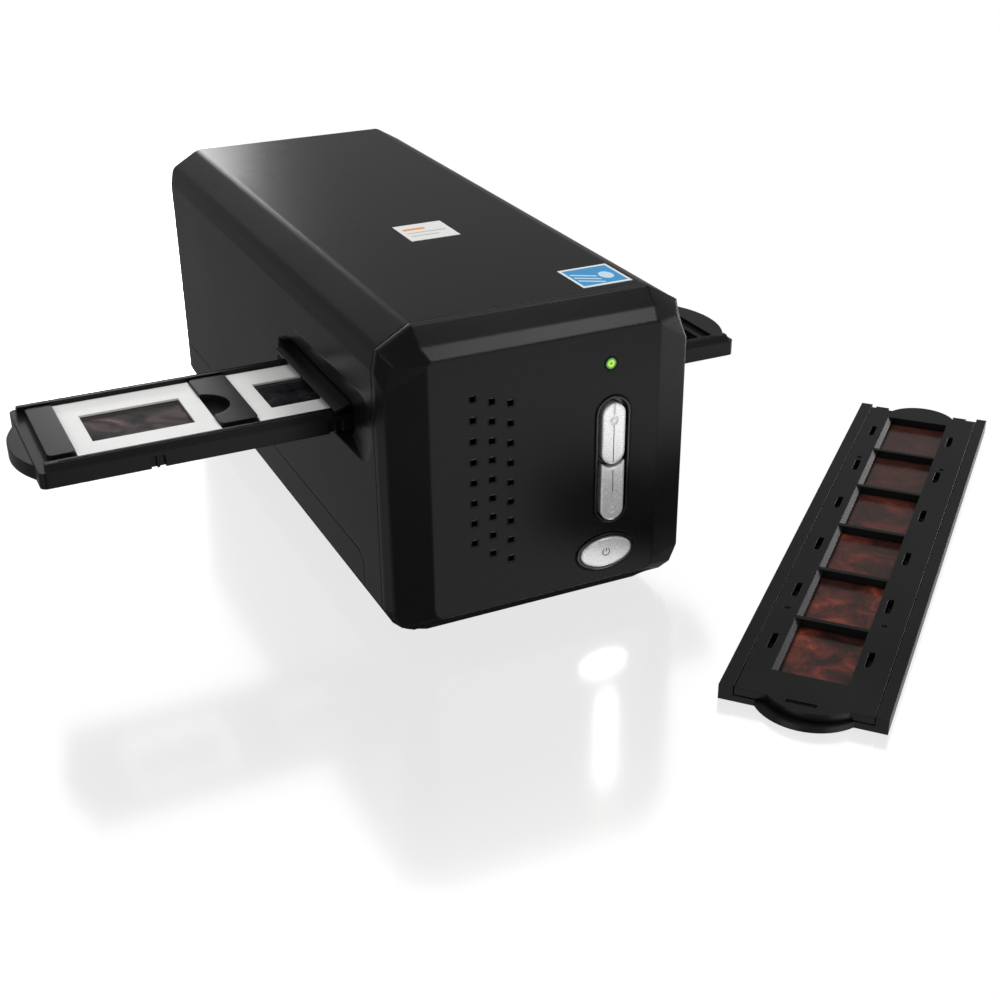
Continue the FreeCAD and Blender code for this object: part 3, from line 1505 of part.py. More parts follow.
def lamp_housing():
    xs = (s.scan_side - lamp_half, s.scan_side + lamp_half)
    ys = (-s.lamp_front, -s.arm_half_depth - s.lamp_gap)
    wall = s.lamp_wall
    outer = block("lamp_outer", xs, ys, (lamp_bottom, arm_top))
    hollow_xs = (xs[0] + wall, xs[1] - wall)
    hollow_ys = (ys[0] + wall, ys[1] - wall)
    ceiling = arm_top - wall
    hollow = block("lamp_hollow", hollow_xs, hollow_ys, (lamp_bottom - over, ceiling))
    screw_hole = s.small_shank_radius + s.screw_hole_gap
    holes = [rod("lamp_hole", "Z", (s.scan_side, y), (ceiling - over, arm_top + over), screw_hole)
             for y in (-s.lamp_screw_front, -s.lamp_screw_rear)]
    node("lamp_housing", cut_each("lamp_housing", outer, [hollow] + holes))
    gap = s.lamp_gap
    node("lamp_diffuser", block("lamp_diffuser", (hollow_xs[0] + gap, hollow_xs[1] - gap),
                                (hollow_ys[0] + gap, hollow_ys[1] - gap),
                                (lamp_bottom + gap, lamp_bottom + gap + s.diffuser_thickness)))
    node("lamp_led_bar", block("lamp_led_bar",
                               (s.scan_side - led_bar_half, s.scan_side + led_bar_half),
                               (scan_y + s.led_bar_half_width, scan_y + s.led_bar_half_width * 3),
                               (ceiling - s.led_bar_height, ceiling)))


def scan_mirror():
    along = s.mirror_width / 2 * DIAGONAL_SHARE
    thick = s.mirror_thickness / 2 * DIAGONAL_SHARE
    y, z = scan_y, s.optic_level
    corners = [(y - along + thick, z + along + thick), (y - along - thick, z + along - thick),
               (y + along - thick, z - along - thick), (y + along + thick, z - along + thick)]
    left = s.scan_side - s.mirror_length / 2
    node("scan_mirror", prism("scan_mirror", "YZ", corners, left, s.mirror_length))


def lens():
    centre = (s.scan_side, s.optic_level)
    front, back = s.barrel_front, s.barrel_front + s.barrel_length
    tube = rod("barrel_tube", "Y", centre, (front, back), s.barrel_radius)
    bore = rod("barrel_bore", "Y", centre, (front - over, back + over), s.barrel_bore)
    node("lens_barrel", cut("lens_barrel", tube, [bore]))
    elements = []
    for i in range(3):
        start = front + s.lens_element_thickness / 2 + s.lens_element_pitch * i
        elements.append(rod("lens_element", "Y", centre, (start, start + s.lens_element_thickness),
                            s.lens_element_radius))
    node("lens_elements", group("lens_elements", elements))


def sensor_board():
    xs = (s.scan_side - sensor_board_half, s.scan_side + sensor_board_half)
    ys = (sensor_board_front, sensor_board_front + s.board_thickness)
    plate = block("sensor_plate", xs, ys, (s.sensor_board_low, s.sensor_board_high))
    holes = [rod("sensor_plate_hole", "Y", (s.scan_side + standoff_side * side, s.sensor_screw_level),
                 (ys[0] - over, ys[1] + over), s.small_shank_radius + s.screw_hole_gap) for side in (-1, 1)]
    node("sensor_board", cut("sensor_board", plate, holes))
    node("image_sensor", block("image_sensor",
                               (s.scan_side - sensor_half, s.scan_side + sensor_half),
                               (sensor_board_front - s.sensor_depth, sensor_board_front),
                               (s.optic_level - s.sensor_half_height,
                                s.optic_level + s.sensor_half_height)))


def carriage_screws():
    small = (s.small_head_radius, s.small_head_height, s.small_shank_radius, s.small_shank_length)
    seat = tray_top + s.arm_foot_thickness
    screws = [screw("arm_screw", "Z", place, seat, 1, *small[:3], s.arm_foot_thickness + s.tray_thickness)
              for place in arm_screw_places()]
    back = sensor_board_front + s.board_thickness
    for side in (-1, 1):
        screws.append(screw("sensor_screw", "Y", (s.scan_side + standoff_side * side, s.sensor_screw_level),
                            back, 1, *small))
    seat = arm_top + s.arm_tongue_thickness
    for y in (-s.lamp_screw_front, -s.lamp_screw_rear):
        screws.append(screw("lamp_screw", "Z", (s.scan_side, y), seat, 1, *small[:3],
                            s.arm_tongue_thickness + s.lamp_wall))
    node("carriage_screws", group("carriage_screws", screws))


# Belt drive

belt_x = -s.belt_centre_x
belt_right = belt_x + s.belt_width / 2
belt_left = belt_x - s.belt_width / 2
pinion_y = s.drive_y + s.pinion_shift_y
pinion_z = s.drive_level + s.pinion_shift_z
bracket_back = size(0)
bracket_front_x = bracket_back - s.bracket_thickness
motor_back = bracket_back + s.motor_length
gear_right = bracket_front_x - s.gear_gap * 3
gear_left = gear_right - s.gear_width


def tooth_wheel(name, teeth, centre, phase, xs):
    """A spur gear blank with involute flanks, its first tooth at the phase angle."""
    module = s.tooth_module.value
    pitch = module * teeth / 2
    pressure = math.radians(PRESSURE_ANGLE)
    base = pitch * math.cos(pressure)
    tip = pitch + s.tooth_addendum.value
    root = pitch - s.tooth_dedendum.value
    half_tooth = math.pi / (2 * teeth) - s.tooth_thinning.value / pitch
    involute = math.tan(pressure) - pressure
    flank = []
    start = max(base, root)
    steps = 4
    for i in range(steps + 1):
        radius = start + (tip - start) * i / steps
        turn = math.acos(min(1.0, base / radius))
        flank.append((radius, half_tooth + involute - (math.tan(turn) - turn)))
    if root < base:
        flank.insert(0, (root, flank[0][1]))
    points = []
    for tooth in range(teeth):
        middle = math.radians(phase) + 2 * math.pi * tooth / teeth
        rising = [(radius, middle - spread) for radius, spread in flank]
        falling = [(radius, middle + spread) for radius, spread in reversed(flank)]
        for radius, angle in rising + falling:
            points.append(FreeCAD.Vector(0, radius * math.cos(angle), radius * math.sin(angle)))
    wire = Part.makePolygon(points + points[:1])
    wheel = doc.addObject("Part::Feature", name)
    wheel.Shape = Part.Face(wire).extrude(FreeCAD.Vector((xs[1] - xs[0]).value, 0, 0))
    wheel.Placement = FreeCAD.Placement(FreeCAD.Vector(xs[0].value, centre[0].value, centre[1].value),
                                        FreeCAD.Rotation())
    bind(wheel, {"Placement.Base.x": xs[0], "Placement.Base.y": centre[0], "Placement.Base.z": centre[1]})
    return wheel


def drive_wheels():
    line = math.degrees(math.atan2(s.pinion_shift_z.value, s.pinion_shift_y.value))
    centre = (s.drive_y, s.drive_level)
    wheel = tooth_wheel("gear_teeth", GEAR_TEETH, centre, line + 180 / GEAR_TEETH, (gear_left, gear_right))
    side_gap = s.pulley_side_gap
    flange = s.pulley_flange
    sheave = [
        rod("pulley_drum", "X", centre, (belt_left - side_gap - flange, gear_left), s.pulley_radius),
        rod("pulley_outer_flange", "X", centre, (belt_left - side_gap - flange, belt_left - side_gap),
            s.pulley_flange_radius),
        rod("pulley_inner_flange", "X", centre, (belt_right + side_gap, belt_right + side_gap + flange),
            s.pulley_flange_radius),
    ]
    bore = rod("pulley_bore", "X", centre, (belt_left - over * 2, gear_right + over),
               s.axle_radius + s.axle_gap)
    node("drive_pulley", cut("drive_pulley", fuse("pulley_body", [wheel] + sheave), [bore]))
    centre = (pinion_y, pinion_z)
    extra = s.pinion_extra
    pinion = tooth_wheel("pinion_teeth", PINION_TEETH, centre, line + 180,
                         (gear_left - extra, gear_right + extra))
    shaft = rod("motor_shaft", "X", centre, (gear_left - extra * 2, bracket_back + s.motor_length / 3),
                s.motor_shaft_radius)
    node("motor_pinion", fuse("motor_pinion", [pinion, shaft]))
    centre = (-s.idler_y, s.drive_level)
    idler = [
        rod("idler_drum", "X", centre, (belt_left - side_gap - flange, belt_right + side_gap + flange),
            s.pulley_radius),
        rod("idler_left_flange", "X", centre, (belt_left - side_gap - flange, belt_left - side_gap),
            s.pulley_flange_radius),
        rod("idler_right_flange", "X", centre, (belt_right + side_gap, belt_right + side_gap + flange),
            s.pulley_flange_radius),
    ]
    bore = rod("idler_bore", "X", centre, (belt_left - over * 2, belt_right + over * 2),
               s.axle_radius + s.axle_gap)
    node("idler_pulley", cut("idler_pulley", fuse("idler_body", idler), [bore]))


def motor():
    centre = (pinion_y, pinion_z)
    can = rod("motor_can", "X", centre, (bracket_back, motor_back), s.motor_radius)
    ears = block("motor_ears", (bracket_back, bracket_back + s.motor_ear_thickness),
                 (pinion_y - s.motor_ear_reach - s.motor_ear_half,
                  pinion_y + s.motor_ear_reach + s.motor_ear_half),
                 (pinion_z - s.motor_ear_half, pinion_z + s.motor_ear_half))
    bore = rod("motor_bore", "X", centre, (bracket_back - over, bracket_back + s.motor_length / 2),
               s.motor_shaft_radius + s.axle_gap)
    holes = [rod("motor_ear_hole", "X", (pinion_y + s.motor_ear_reach * way, pinion_z),
                 (bracket_back - over, bracket_back + s.motor_ear_thickness + over),
                 s.motor_ear_screw + s.screw_hole_gap) for way in (-1, 1)]
    node("stepper_motor", cut("stepper_motor", fuse("motor_body", [can, ears]), [bore] + holes))
    xs = (bracket_front_x, bracket_back)
    plate = block("bracket_plate", xs, (pinion_y - s.bracket_rear, pinion_y + s.bracket_rear),
                  (frame_floor_top, pinion_z + s.bracket_front))
    foot = block("bracket_foot", (bracket_front_x, motor_back + s.bracket_foot_reach),
                 (pinion_y - s.bracket_foot_half * 2, pinion_y - s.bracket_foot_half / 2),
                 (frame_floor_top, frame_floor_top + s.bracket_foot))
    tools = [rod("bracket_shaft_hole", "X", centre, (xs[0] - over, xs[1] + over),
                 s.motor_shaft_radius + s.fit_gap)]
    tools.append(rod("bracket_axle_hole", "X", (s.drive_y, s.drive_level), (xs[0] - over, xs[1] + over),
                     s.axle_radius))
    for way in (-1, 1):
        tools.append(rod("bracket_ear_hole", "X", (pinion_y + s.motor_ear_reach * way, pinion_z),
                         (xs[0] - over, xs[1] + over), s.motor_ear_screw + s.screw_hole_gap))
    for x, y in bracket_screw_places():
        tools.append(rod("bracket_foot_hole", "Z", (x, y),
                         (frame_floor_top - over, frame_floor_top + s.bracket_foot + over),
                         s.motor_ear_screw + s.screw_hole_gap))
    node("motor_bracket", cut("motor_bracket", fuse("bracket_body", [plate, foot]), tools))
    screws = [screw("motor_ear_screw", "X", (pinion_y + s.motor_ear_reach * way, pinion_z),
                    bracket_back + s.motor_ear_thickness, 1, s.ear_head_radius, s.ear_head_height,
                    s.motor_ear_screw, s.motor_ear_thickness + s.bracket_thickness) for way in (-1, 1)]
    for place in bracket_screw_places():
        screws.append(screw("bracket_screw", "Z", place, frame_floor_top + s.bracket_foot, 1,
                            s.ear_head_radius,
                            s.ear_head_height, s.motor_ear_screw, s.bracket_foot + s.chassis_floor))
    node("motor_screws", group("motor_screws", screws))


def idler_bracket():
    inner_left = belt_left - s.pulley_side_gap * 2 - s.pulley_flange
    inner_right = belt_right + s.pulley_side_gap * 2 + s.pulley_flange
    ys = (-s.idler_y - s.idler_cheek_half, -s.idler_y + s.idler_cheek_half)
    zs = (frame_floor_top, s.drive_level + s.idler_cheek_rise)
    outer_left = inner_left - s.idler_cheek
    outer_right = inner_right + s.idler_cheek
    solids = [
        block("idler_left_cheek", (outer_left, inner_left), ys, zs),
        block("idler_right_cheek", (inner_right, outer_right), ys, zs),
        block("idler_base", (outer_left, outer_right), ys, (zs[0], zs[0] + s.idler_plate)),
        rod("idler_pin", "X", (-s.idler_y, s.drive_level), (outer_left, outer_right), s.axle_radius),
        block("idler_spring_plate", (outer_left, outer_right), (ys[0], ys[0] + s.idler_plate),
              (zs[0], s.drive_level - s.pulley_radius + s.idler_plate)),
    ]
    node("idler_bracket", fuse("idler_bracket", solids))


def idler_spring():
    """A compression spring between the chassis wall and the idler's bracket."""
    start = -s.chassis_front + s.spring_wall + s.spring_gap + s.spring_wire_radius
    end = -s.idler_y - s.idler_cheek_half - s.spring_gap - s.spring_wire_radius
    length = (end - start).value
    radius = s.spring_radius.value
    level = frame_floor_top + s.spring_radius + s.spring_wire_radius + s.spring_gap
    helix = Part.makeHelix(length / s.spring_turns.value, length, radius)
    circle = Part.Circle(FreeCAD.Vector(radius, 0, 0), FreeCAD.Vector(0, 1, 0), s.spring_wire_radius.value)
    profile = Part.Wire(circle.toShape())
    coil = Part.Wire(helix.Edges).makePipeShell([profile], True, True)
    spring = doc.addObject("Part::Feature", "idler_spring")
    spring.Shape = coil
    spring.Placement = FreeCAD.Placement(FreeCAD.Vector(belt_x.value, start.value, level.value),
                                         AXIS_TURNS["Y"])
    bind(spring, {"Placement.Base.x": belt_x, "Placement.Base.y": start, "Placement.Base.z": level})
    node("idler_spring", spring)


def belt_loop(name, radius, xs):
    """A flat loop round both pulleys' centres."""
    front, back = -s.idler_y, s.drive_y
    middle = block(f"{name}_middle", xs, (front, back), (s.drive_level - radius, s.drive_level + radius))
    ends = [rod(f"{name}_end", "X", (y, s.drive_level), xs, radius) for y in (front, back)]
    return fuse(name, [middle] + ends)


def timing_belt():
    inner = s.pulley_radius + s.belt_gap
    xs = (belt_left, belt_right)
    outer = belt_loop("belt_outer", inner + s.belt_thickness, xs)
    hollow = belt_loop("belt_hollow", inner, (belt_left - over, belt_right + over))
    node("timing_belt", cut("timing_belt", outer, [hollow]))


def belt_clamp():
    run = s.drive_level + s.pulley_radius + s.belt_gap
    gap = s.clamp_gap
    slot_xs = (belt_left - gap, belt_right + gap)
    slot_zs = (run - gap, run + s.belt_thickness + gap)
    solid = block("clamp_body", (slot_xs[0] - s.clamp_side, slot_xs[1] + s.clamp_side), (0, s.clamp_length),
                  (slot_zs[0] - s.clamp_jaw, s.tray_level))
    slot = block("clamp_slot", slot_xs, (-over, s.clamp_length + over), slot_zs)
    node("belt_clamp", cut("belt_clamp", solid, [slot]))


# Main board

def main_board():
    zs = (s.board_level, board_top)
    half_board = main_board_half
    plate = block("board_plate", (-half_board, half_board), (s.main_board_front, s.main_board_rear), zs)
    tongue = block("board_tongue", (-tongue_half, tongue_half), (s.main_board_rear - over, s.tongue_rear),
                   zs)
    holes = [rod("board_hole", "Z", (x, y), (zs[0] - over, zs[1] + over),
                 s.small_shank_radius + s.screw_hole_gap) for x, y in board_screw_places()]
    node("main_board", cut("main_board", fuse("board_body", [plate, tongue]), holes))
    chips = []
    for number, (x, size_half) in enumerate(((-s.chip_left, s.chip_large / 2),
                                             (s.chip_right, s.chip_large / 2),
                                             (-s.chip_left, s.chip_small / 2),
                                             (s.chip_right, s.chip_small / 2))):
        y = s.chip_front + s.chip_pitch * (number // 2) + s.chip_large / 2
        chips.append(block("chip", (x - size_half, x + size_half), (y - size_half, y + size_half),
                           (board_top, board_top + s.chip_height)))
    node("board_chips", group("board_chips", chips))
    ys = (rear - s.socket_set - s.socket_depth, rear - s.socket_set)
    x = -s.data_socket_x
    z = board_top + s.data_socket_height / 2
    body = block("data_body", (x - s.data_socket_half, x + s.data_socket_half), ys,
                 (board_top, board_top + s.data_socket_height))
    mouth = block("data_mouth", (x - s.data_mouth_half, x + s.data_mouth_half),
                  (ys[1] - s.data_mouth_depth, ys[1] + over),
                  (z - s.data_mouth_height / 2, z + s.data_mouth_height / 2))
    shell = cut("data_shell", body, [mouth])
    tongue = block("data_tongue", (x - s.data_tongue_half, x + s.data_tongue_half),
                   (ys[1] - s.data_mouth_depth - over, ys[1] - s.socket_set),
                   (z - s.data_tongue_height / 2, z + s.data_tongue_height / 2))
    node("data_socket", fuse("data_socket", [shell, tongue]))
    x = s.power_socket_x
    z = board_top + s.power_socket_height / 2
    body = block("jack_body", (x - s.power_socket_half, x + s.power_socket_half), ys,
                 (board_top, board_top + s.power_socket_height))
    mouth = rod("jack_mouth", "Y", (x, z), (ys[1] - s.data_mouth_depth, ys[1] + over), s.power_mouth_radius)
    shell = cut("jack_shell", body, [mouth])
    pin = rod("jack_pin", "Y", (x, z), (ys[1] - s.data_mouth_depth - over, ys[1] - s.socket_set),
              s.power_pin_radius)
    node("power_socket", fuse("power_socket", [shell, pin]))


def ribbon(name, points, xs):
    """A flat cable that runs square-cornered through points in the side view."""
    runs = []
    thick = s.cable_thickness
    for (y0, z0), (y1, z1) in zip(points, points[1:]):
        low_y, high_y = (y0, y1) if y0.value < y1.value else (y1, y0)
        low_z, high_z = (z0, z1) if z0.value < z1.value else (z1, z0)
        runs.append(block(f"{name}_run", xs, (low_y, high_y + thick), (low_z, high_z + thick)))
    return fuse(name, runs)


def cables():
    board_back = key_board_front + s.board_thickness + s.cable_gap
    board_y = s.main_board_front + s.cable_tail
    down = board_top + s.cable_gap
    points = [(board_back, key_board_high - s.cable_tail), (board_back, cable_top),
              (board_y, cable_top), (board_y, down)]
    node("key_cable", ribbon("key_cable", points, (cable_left, cable_left + s.cable_width)))
    y = sensor_board_front + s.cable_gap
    level = s.sensor_board_high + s.carriage_cable_drop
    points = [(y, s.sensor_board_high + s.cable_gap), (y, level), (y - s.carriage_cable_reach, level),
              (y - s.carriage_cable_reach, s.board_level - s.cable_gap - s.cable_thickness)]
    x = s.scan_side
    node("carriage_cable", ribbon("carriage_cable", points,
                                  (x - s.carriage_cable_half, x + s.carriage_cable_half)))


# Slide holder

def bay_centre(number):
    """Bay 0 is the leftmost; bay 2 lies over the gate at rest."""
    return s.scan_side + s.bay_pitch * (number - 2)


holder_left = bay_centre(0) - s.bay_size / 2 - s.holder_end
holder_right = bay_centre(BAYS - 1) + s.bay_size / 2 + s.holder_end


def slide_holder():
    low = s.holder_bottom
    plate_top = holder_top - s.plate_drop
    xs = (holder_left, holder_right)
    corners = [(holder_left, holder_near), (holder_right, holder_near),
               (holder_right, holder_far), (holder_left, holder_far)]
    plate = prism("holder_plate", "XY", corners, low, plate_top - low, [(corners, s.holder_corner)])
    bay_half = s.bay_size / 2
    bevel = s.rail_bevel
    near_in, far_in = scan_y - bay_half, scan_y + bay_half
    near_rail = prism("near_edge", "YZ", [(holder_near, low), (near_in, low), (near_in, holder_top),
                                          (holder_near + bevel, holder_top),
                                          (holder_near, holder_top - bevel)],
                      holder_left + s.holder_corner, holder_right - holder_left - s.holder_corner * 2)
    far_rail = prism("far_edge", "YZ", [(holder_far, low), (far_in, low), (far_in, holder_top),
                                        (holder_far - bevel, holder_top), (holder_far, holder_top - bevel)],
                     holder_left + s.holder_corner, holder_right - holder_left - s.holder_corner * 2)
    solids = [plate, near_rail, far_rail]
    seats, lights, fingers, tools = [], [], [], []
    bar_zs = (low, holder_top - s.bar_drop)
    bar_ys = (near_in + s.bar_near_gap, far_in - s.bar_far_gap)
    for number in range(BAYS):
        right = bay_centre(number) - bay_half
        left = right - s.bay_pitch + s.bay_size
        if number == 0:
            left = right - s.holder_end / 3 * 2
        ring = [(left, bar_ys[0]), (right, bar_ys[0]), (right, bar_ys[1]), (left, bar_ys[1])]
        solids.append(prism("holder_bar", "XY", ring, low, bar_zs[1] - low, [(ring, s.bar_round)]))
        if number > 0:
            floor = holder_top - s.bar_drop - s.finger_depth
            fingers.append(rod("finger_notch", "Z", (left - s.finger_set, scan_y - s.finger_shift),
                               (floor, holder_top + over), s.finger_radius))
    for number in range(BAYS):
        x = bay_centre(number)
        light = s.bay_light / 2
        seat_right, light_right = x + bay_half, x + light
        if number == BAYS - 1:
            seat_right = holder_right - s.holder_end_wall
            light_right = seat_right - bay_half + light
        seats.append(block("bay_seat", (x - bay_half, seat_right), (near_in, far_in),
                           (ledge_level, holder_top + over)))
        lights.append(block("bay_light", (x - light, light_right), (scan_y - light, scan_y + light),
                           (low - over, holder_top + over)))
        notch = block("index_notch", (x - s.notch_width / 2, x + s.notch_width / 2),
                      (holder_near - over, holder_near + s.notch_depth), (low - over, low + s.notch_height))
        post = block("index_post", (x - s.notch_post / 2, x + s.notch_post / 2),
                     (holder_near + s.notch_post_set, holder_near + s.notch_depth + over),
                     (low - over * 2, low + s.notch_height))
        tools.append(cut("index_notch_shape", notch, [post]))
    groove = s.rail_groove_inset
    for edge, way in ((near_in, -1), (far_in, 1)):
        a = edge + groove * way
        b = a + s.rail_groove_width * way
        tools.append(block("rail_groove", (holder_left + s.holder_end / 2, holder_right - s.holder_end / 2),
                           (b, a) if way < 0 else (a, b),
                           (holder_top - s.rail_groove_depth, holder_top + over)))
    grab_zs = (low + (s.holder_height - s.plate_drop - s.grab_thickness) / 2,
               low + (s.holder_height - s.plate_drop + s.grab_thickness) / 2)
    body = fuse("holder_body", solids)
    for name, stage in (("lights", lights), ("seats", seats), ("fingers", fingers), ("details", tools)):
        body = cut(f"holder_{name}", body, stage)
    tabs = [bump("left_grab", "Y", scan_y - s.grab_shift, s.grab_half, holder_left, s.grab_reach, -1,
                 grab_zs),
            bump("right_grab", "Y", scan_y - s.grab_shift, s.grab_half, holder_right, s.grab_reach, 1,
                 grab_zs)]
    node("slide_holder", fuse("slide_holder", [body] + tabs))


def slides():
    mounts = []
    films = []
    low = ledge_level
    high = low + s.slide_thickness
    reach = s.slide_size / 2
    wide, tall = s.slide_window_width / 2, s.slide_window_height / 2
    margin = s.slide_film_margin
    middle = (low + high) / 2
    for number in FILLED_BAYS:
        x = bay_centre(number)
        frame = block("mount_frame", (x - reach, x + reach), (scan_y - reach, scan_y + reach), (low, high))
        window = block("mount_window", (x - wide, x + wide), (scan_y - tall, scan_y + tall),
                       (low - over, high + over))
        pocket = block("mount_pocket", (x - wide - margin, x + wide + margin),
                       (scan_y - tall - margin, scan_y + tall + margin),
                       (middle - s.film_thickness / 2 - s.slide_film_gap,
                        middle + s.film_thickness / 2 + s.slide_film_gap))
        mounts.append(cut_each("slide_mount", frame, [window, pocket]))
        inner = margin - s.slide_film_gap
        films.append(block("slide_film", (x - wide - inner, x + wide + inner),
                           (scan_y - tall - inner, scan_y + tall + inner),
                           (middle - s.film_thickness / 2, middle + s.film_thickness / 2)))
    node("slide_mounts", group("slide_mounts", mounts))
    node("slide_films", group("slide_films", films))


# Strip holder, built flat along +Y and then turned to its place on the table

def place_strip(name, obj):
    node(name, obj)
    turn = FreeCAD.Rotation(FreeCAD.Vector(0, 0, 1), -s.strip_turn.value)
    obj.Placement = FreeCAD.Placement(FreeCAD.Vector(), turn)
    obj.setExpression("Placement.Rotation.Angle", f"0 - {s.strip_turn.formula}")
    bind(obj, {
        "Placement.Base.x": s.strip_place_x - s.origin_right,
        "Placement.Base.y": s.origin_ahead - s.strip_place_ahead,
    })


def strip_windows(name, zs):
    boxes = []
    for number in range(FRAMES):
        near = s.window_first + s.frame_pitch * number
        boxes.append(block(name, (s.window_left, s.window_right), (near, near + s.window_length), zs))
    return boxes


lid_bottom = s.strip_floor + s.lid_lift
hinge_level = (lid_bottom + s.strip_height) / 2
strip_middle = s.strip_width / 2


def strip_holder_base():
    zero = size(0)
    length, width = s.strip_length, s.strip_width
    left_rim = s.lid_left - s.lid_gap
    right_rim = s.lid_right + s.lid_gap
    solids = [
        block("strip_plate", (zero, width), (zero, length), (zero, s.strip_floor)),
        block("strip_left_rim", (zero, left_rim), (zero, length), (zero, s.strip_height)),
        block("strip_right_rim", (right_rim, width), (zero, length), (zero, s.strip_height)),
    ]
    far_half = (s.far_bump_right - s.far_bump_left) / 2
    far_middle = (s.far_bump_right + s.far_bump_left) / 2
    solids.append(bump("strip_far_bump", "X", far_middle, far_half, length, s.far_bump_reach, 1,
                       (zero, s.far_bump_height)))
    near_half = (s.near_bump_right - s.near_bump_left) / 2
    near_middle = (s.near_bump_right + s.near_bump_left) / 2
    solids.append(bump("strip_near_bump", "X", near_middle, near_half, zero, s.near_bump_reach, -1,
                       (zero, s.strip_floor)))
    windows = strip_windows("base_window", (-over, s.strip_floor + over))
    tools = []
    channel_half = s.film_width / 2 + s.film_side_gap
    film_end = s.film_first + s.film_length
    tools.append(block("film_channel", (strip_middle - channel_half, strip_middle + channel_half),
                       (s.film_first - s.film_side_gap, film_end + s.film_side_gap),
                       (s.strip_floor - s.film_channel, s.strip_floor + over)))
    grip = s.lid_pin_grip
    tools.append(rod("strip_pin_hole", "X", (s.hinge_along, hinge_level),
                     (left_rim - grip - s.lid_gap, right_rim + grip + s.lid_gap),
                     s.lid_pin_radius + s.lid_pin_gap))
    body = cut("strip_base_open", fuse("strip_base_body", solids), windows)
    place_strip("strip_holder_base", cut("strip_holder_base", body, tools))


def strip_holder_lid():
    low, high = lid_bottom, s.strip_height
    near = s.lid_gap
    plate = block("lid_plate", (s.lid_left, s.lid_right), (near, s.lid_far_end - (high - low) / 2),
                  (low, high))
    tongues = []
    half_height = (high - low) / 2
    for start, end in ((s.hinge_tongue_left, s.hinge_tongue_left + s.hinge_tongue_width),
                       (s.hinge_tongue_right - s.hinge_tongue_width, s.hinge_tongue_right)):
        tongues.append(block("lid_tongue", (start, end), (s.lid_far_end - half_height * 2, s.hinge_along),
                             (low, high)))
        tongues.append(rod("lid_knuckle", "X", (s.hinge_along, hinge_level), (start, end), half_height))
    rim_left = s.lid_left - s.lid_gap - s.lid_pin_grip
    rim_right = s.lid_right + s.lid_gap + s.lid_pin_grip
    place = (s.hinge_along, hinge_level)
    pins = [rod("lid_left_pin", "X", place, (rim_left, s.hinge_tongue_left + s.lid_pin_grip),
                s.lid_pin_radius),
            rod("lid_right_pin", "X", place, (s.hinge_tongue_right - s.lid_pin_grip, rim_right),
                s.lid_pin_radius)]
    bump_half = (s.lid_bump_right - s.lid_bump_left) / 2
    bump_middle = (s.lid_bump_right + s.lid_bump_left) / 2
    tab = bump("lid_bump", "X", bump_middle, bump_half, near, s.lid_bump_reach, -1, (low, high))
    tools = strip_windows("lid_window", (low - over, high + over))
    for x in (s.sprocket_left, s.sprocket_right):
        for number in range(FRAMES):
            middle = s.window_first + s.window_length / 2 + s.frame_pitch * number
            wide, long = s.sprocket_width / 2, s.sprocket_length / 2
            ring = [(x - wide, middle - long), (x + wide, middle - long),
                    (x + wide, middle + long), (x - wide, middle + long)]
            tools.append(prism("sprocket_slot", "XY", ring, low - over, high - low + over * 2,
                               [(ring, wide * SLOT_ROUND_SHARE)]))
    edge = s.window_left + over / 10
    brow = s.window_left - s.window_slope_width
    slope = [(edge, high - s.window_slope_depth), (edge, high + over), (brow, high + over), (brow, high)]
    for number in range(FRAMES):
        tools.append(prism("window_slope", "XZ", slope, s.window_first + s.frame_pitch * number,
                           s.window_length))
    for x in (s.dimple_left, s.dimple_right):
        for y in (s.dimple_near, s.dimple_far):
            tools.append(rod("lid_dimple", "Z", (x, y), (high - s.dimple_depth, high + over),
                             s.dimple_radius))
    recess_zs = (high - s.recess_depth, high + over)
    tools.append(block("finger_recess", (s.recess_left, s.recess_right),
                       (-s.recess_along - s.recess_width / 2, -s.recess_along + s.recess_width / 2),
                       recess_zs))
    solid = fuse("lid_body", [plate, tab] + tongues + pins)
    place_strip("strip_holder_lid", cut("strip_holder_lid", solid, tools))


def film_strip():
    low = s.strip_floor - s.film_channel
    film = block("film_sheet", (strip_middle - s.film_width / 2, strip_middle + s.film_width / 2),
                 (s.film_first, s.film_first + s.film_length), (low, low + s.film_thickness))
    place_strip("film_strip", group("film_strip", [film]))


# Build all pieces, check them and write one file each

base_tray()
top_cover()
rear_panel()
front_bezel()
rubber_feet()
case_screws()
top_labels()
button_surround()
scan_buttons()
power_control()
status_light()
key_board()
board_screws()
for flap_side in (-1, 1):
    dust_flap(flap_side)
steel_pins()
optics_chassis()
holder_track()
chassis_screws()
guide_rods()
scan_carriage()
carriage_bushings()
lamp_arm()
lamp_housing()
scan_mirror()
lens()
sensor_board()
carriage_screws()
drive_wheels()
motor()
idler_bracket()
idler_spring()
timing_belt()
belt_clamp()
main_board()
cables()
slide_holder()
slides()
strip_holder_base()
strip_holder_lid()
film_strip()

doc.recompute()

faults = []
for item in doc.Objects:
    if "Invalid" in item.State or "Error" in item.State:
        faults.append(f"{item.Name}: {item.State}")
    if item.TypeId == "Part::MultiFuse":
        whole = FreeCAD.BoundBox()
        for piece in item.Shapes:
            whole.add(piece.Shape.BoundBox)
        if abs(whole.DiagonalLength - item.Shape.BoundBox.DiagonalLength) > 1e-3 * whole.DiagonalLength:
            faults.append(f"{item.Name}: it lost a piece")
    if item.TypeId == "Part::Cut" and item.Shape.Volume >= item.Base.Shape.Volume:
        faults.append(f"{item.Name}: it cuts nothing")
for label, item in nodes.items():
    shape = item.Shape
    if shape.isNull() or not shape.isValid() or not shape.Solids:
        faults.append(f"{label}: no sound shape")
    if item.Label != label:
        faults.append(f"{label}: its label became {item.Label}")
if faults:
    raise RuntimeError("faults in the model: " + "; ".join(faults))

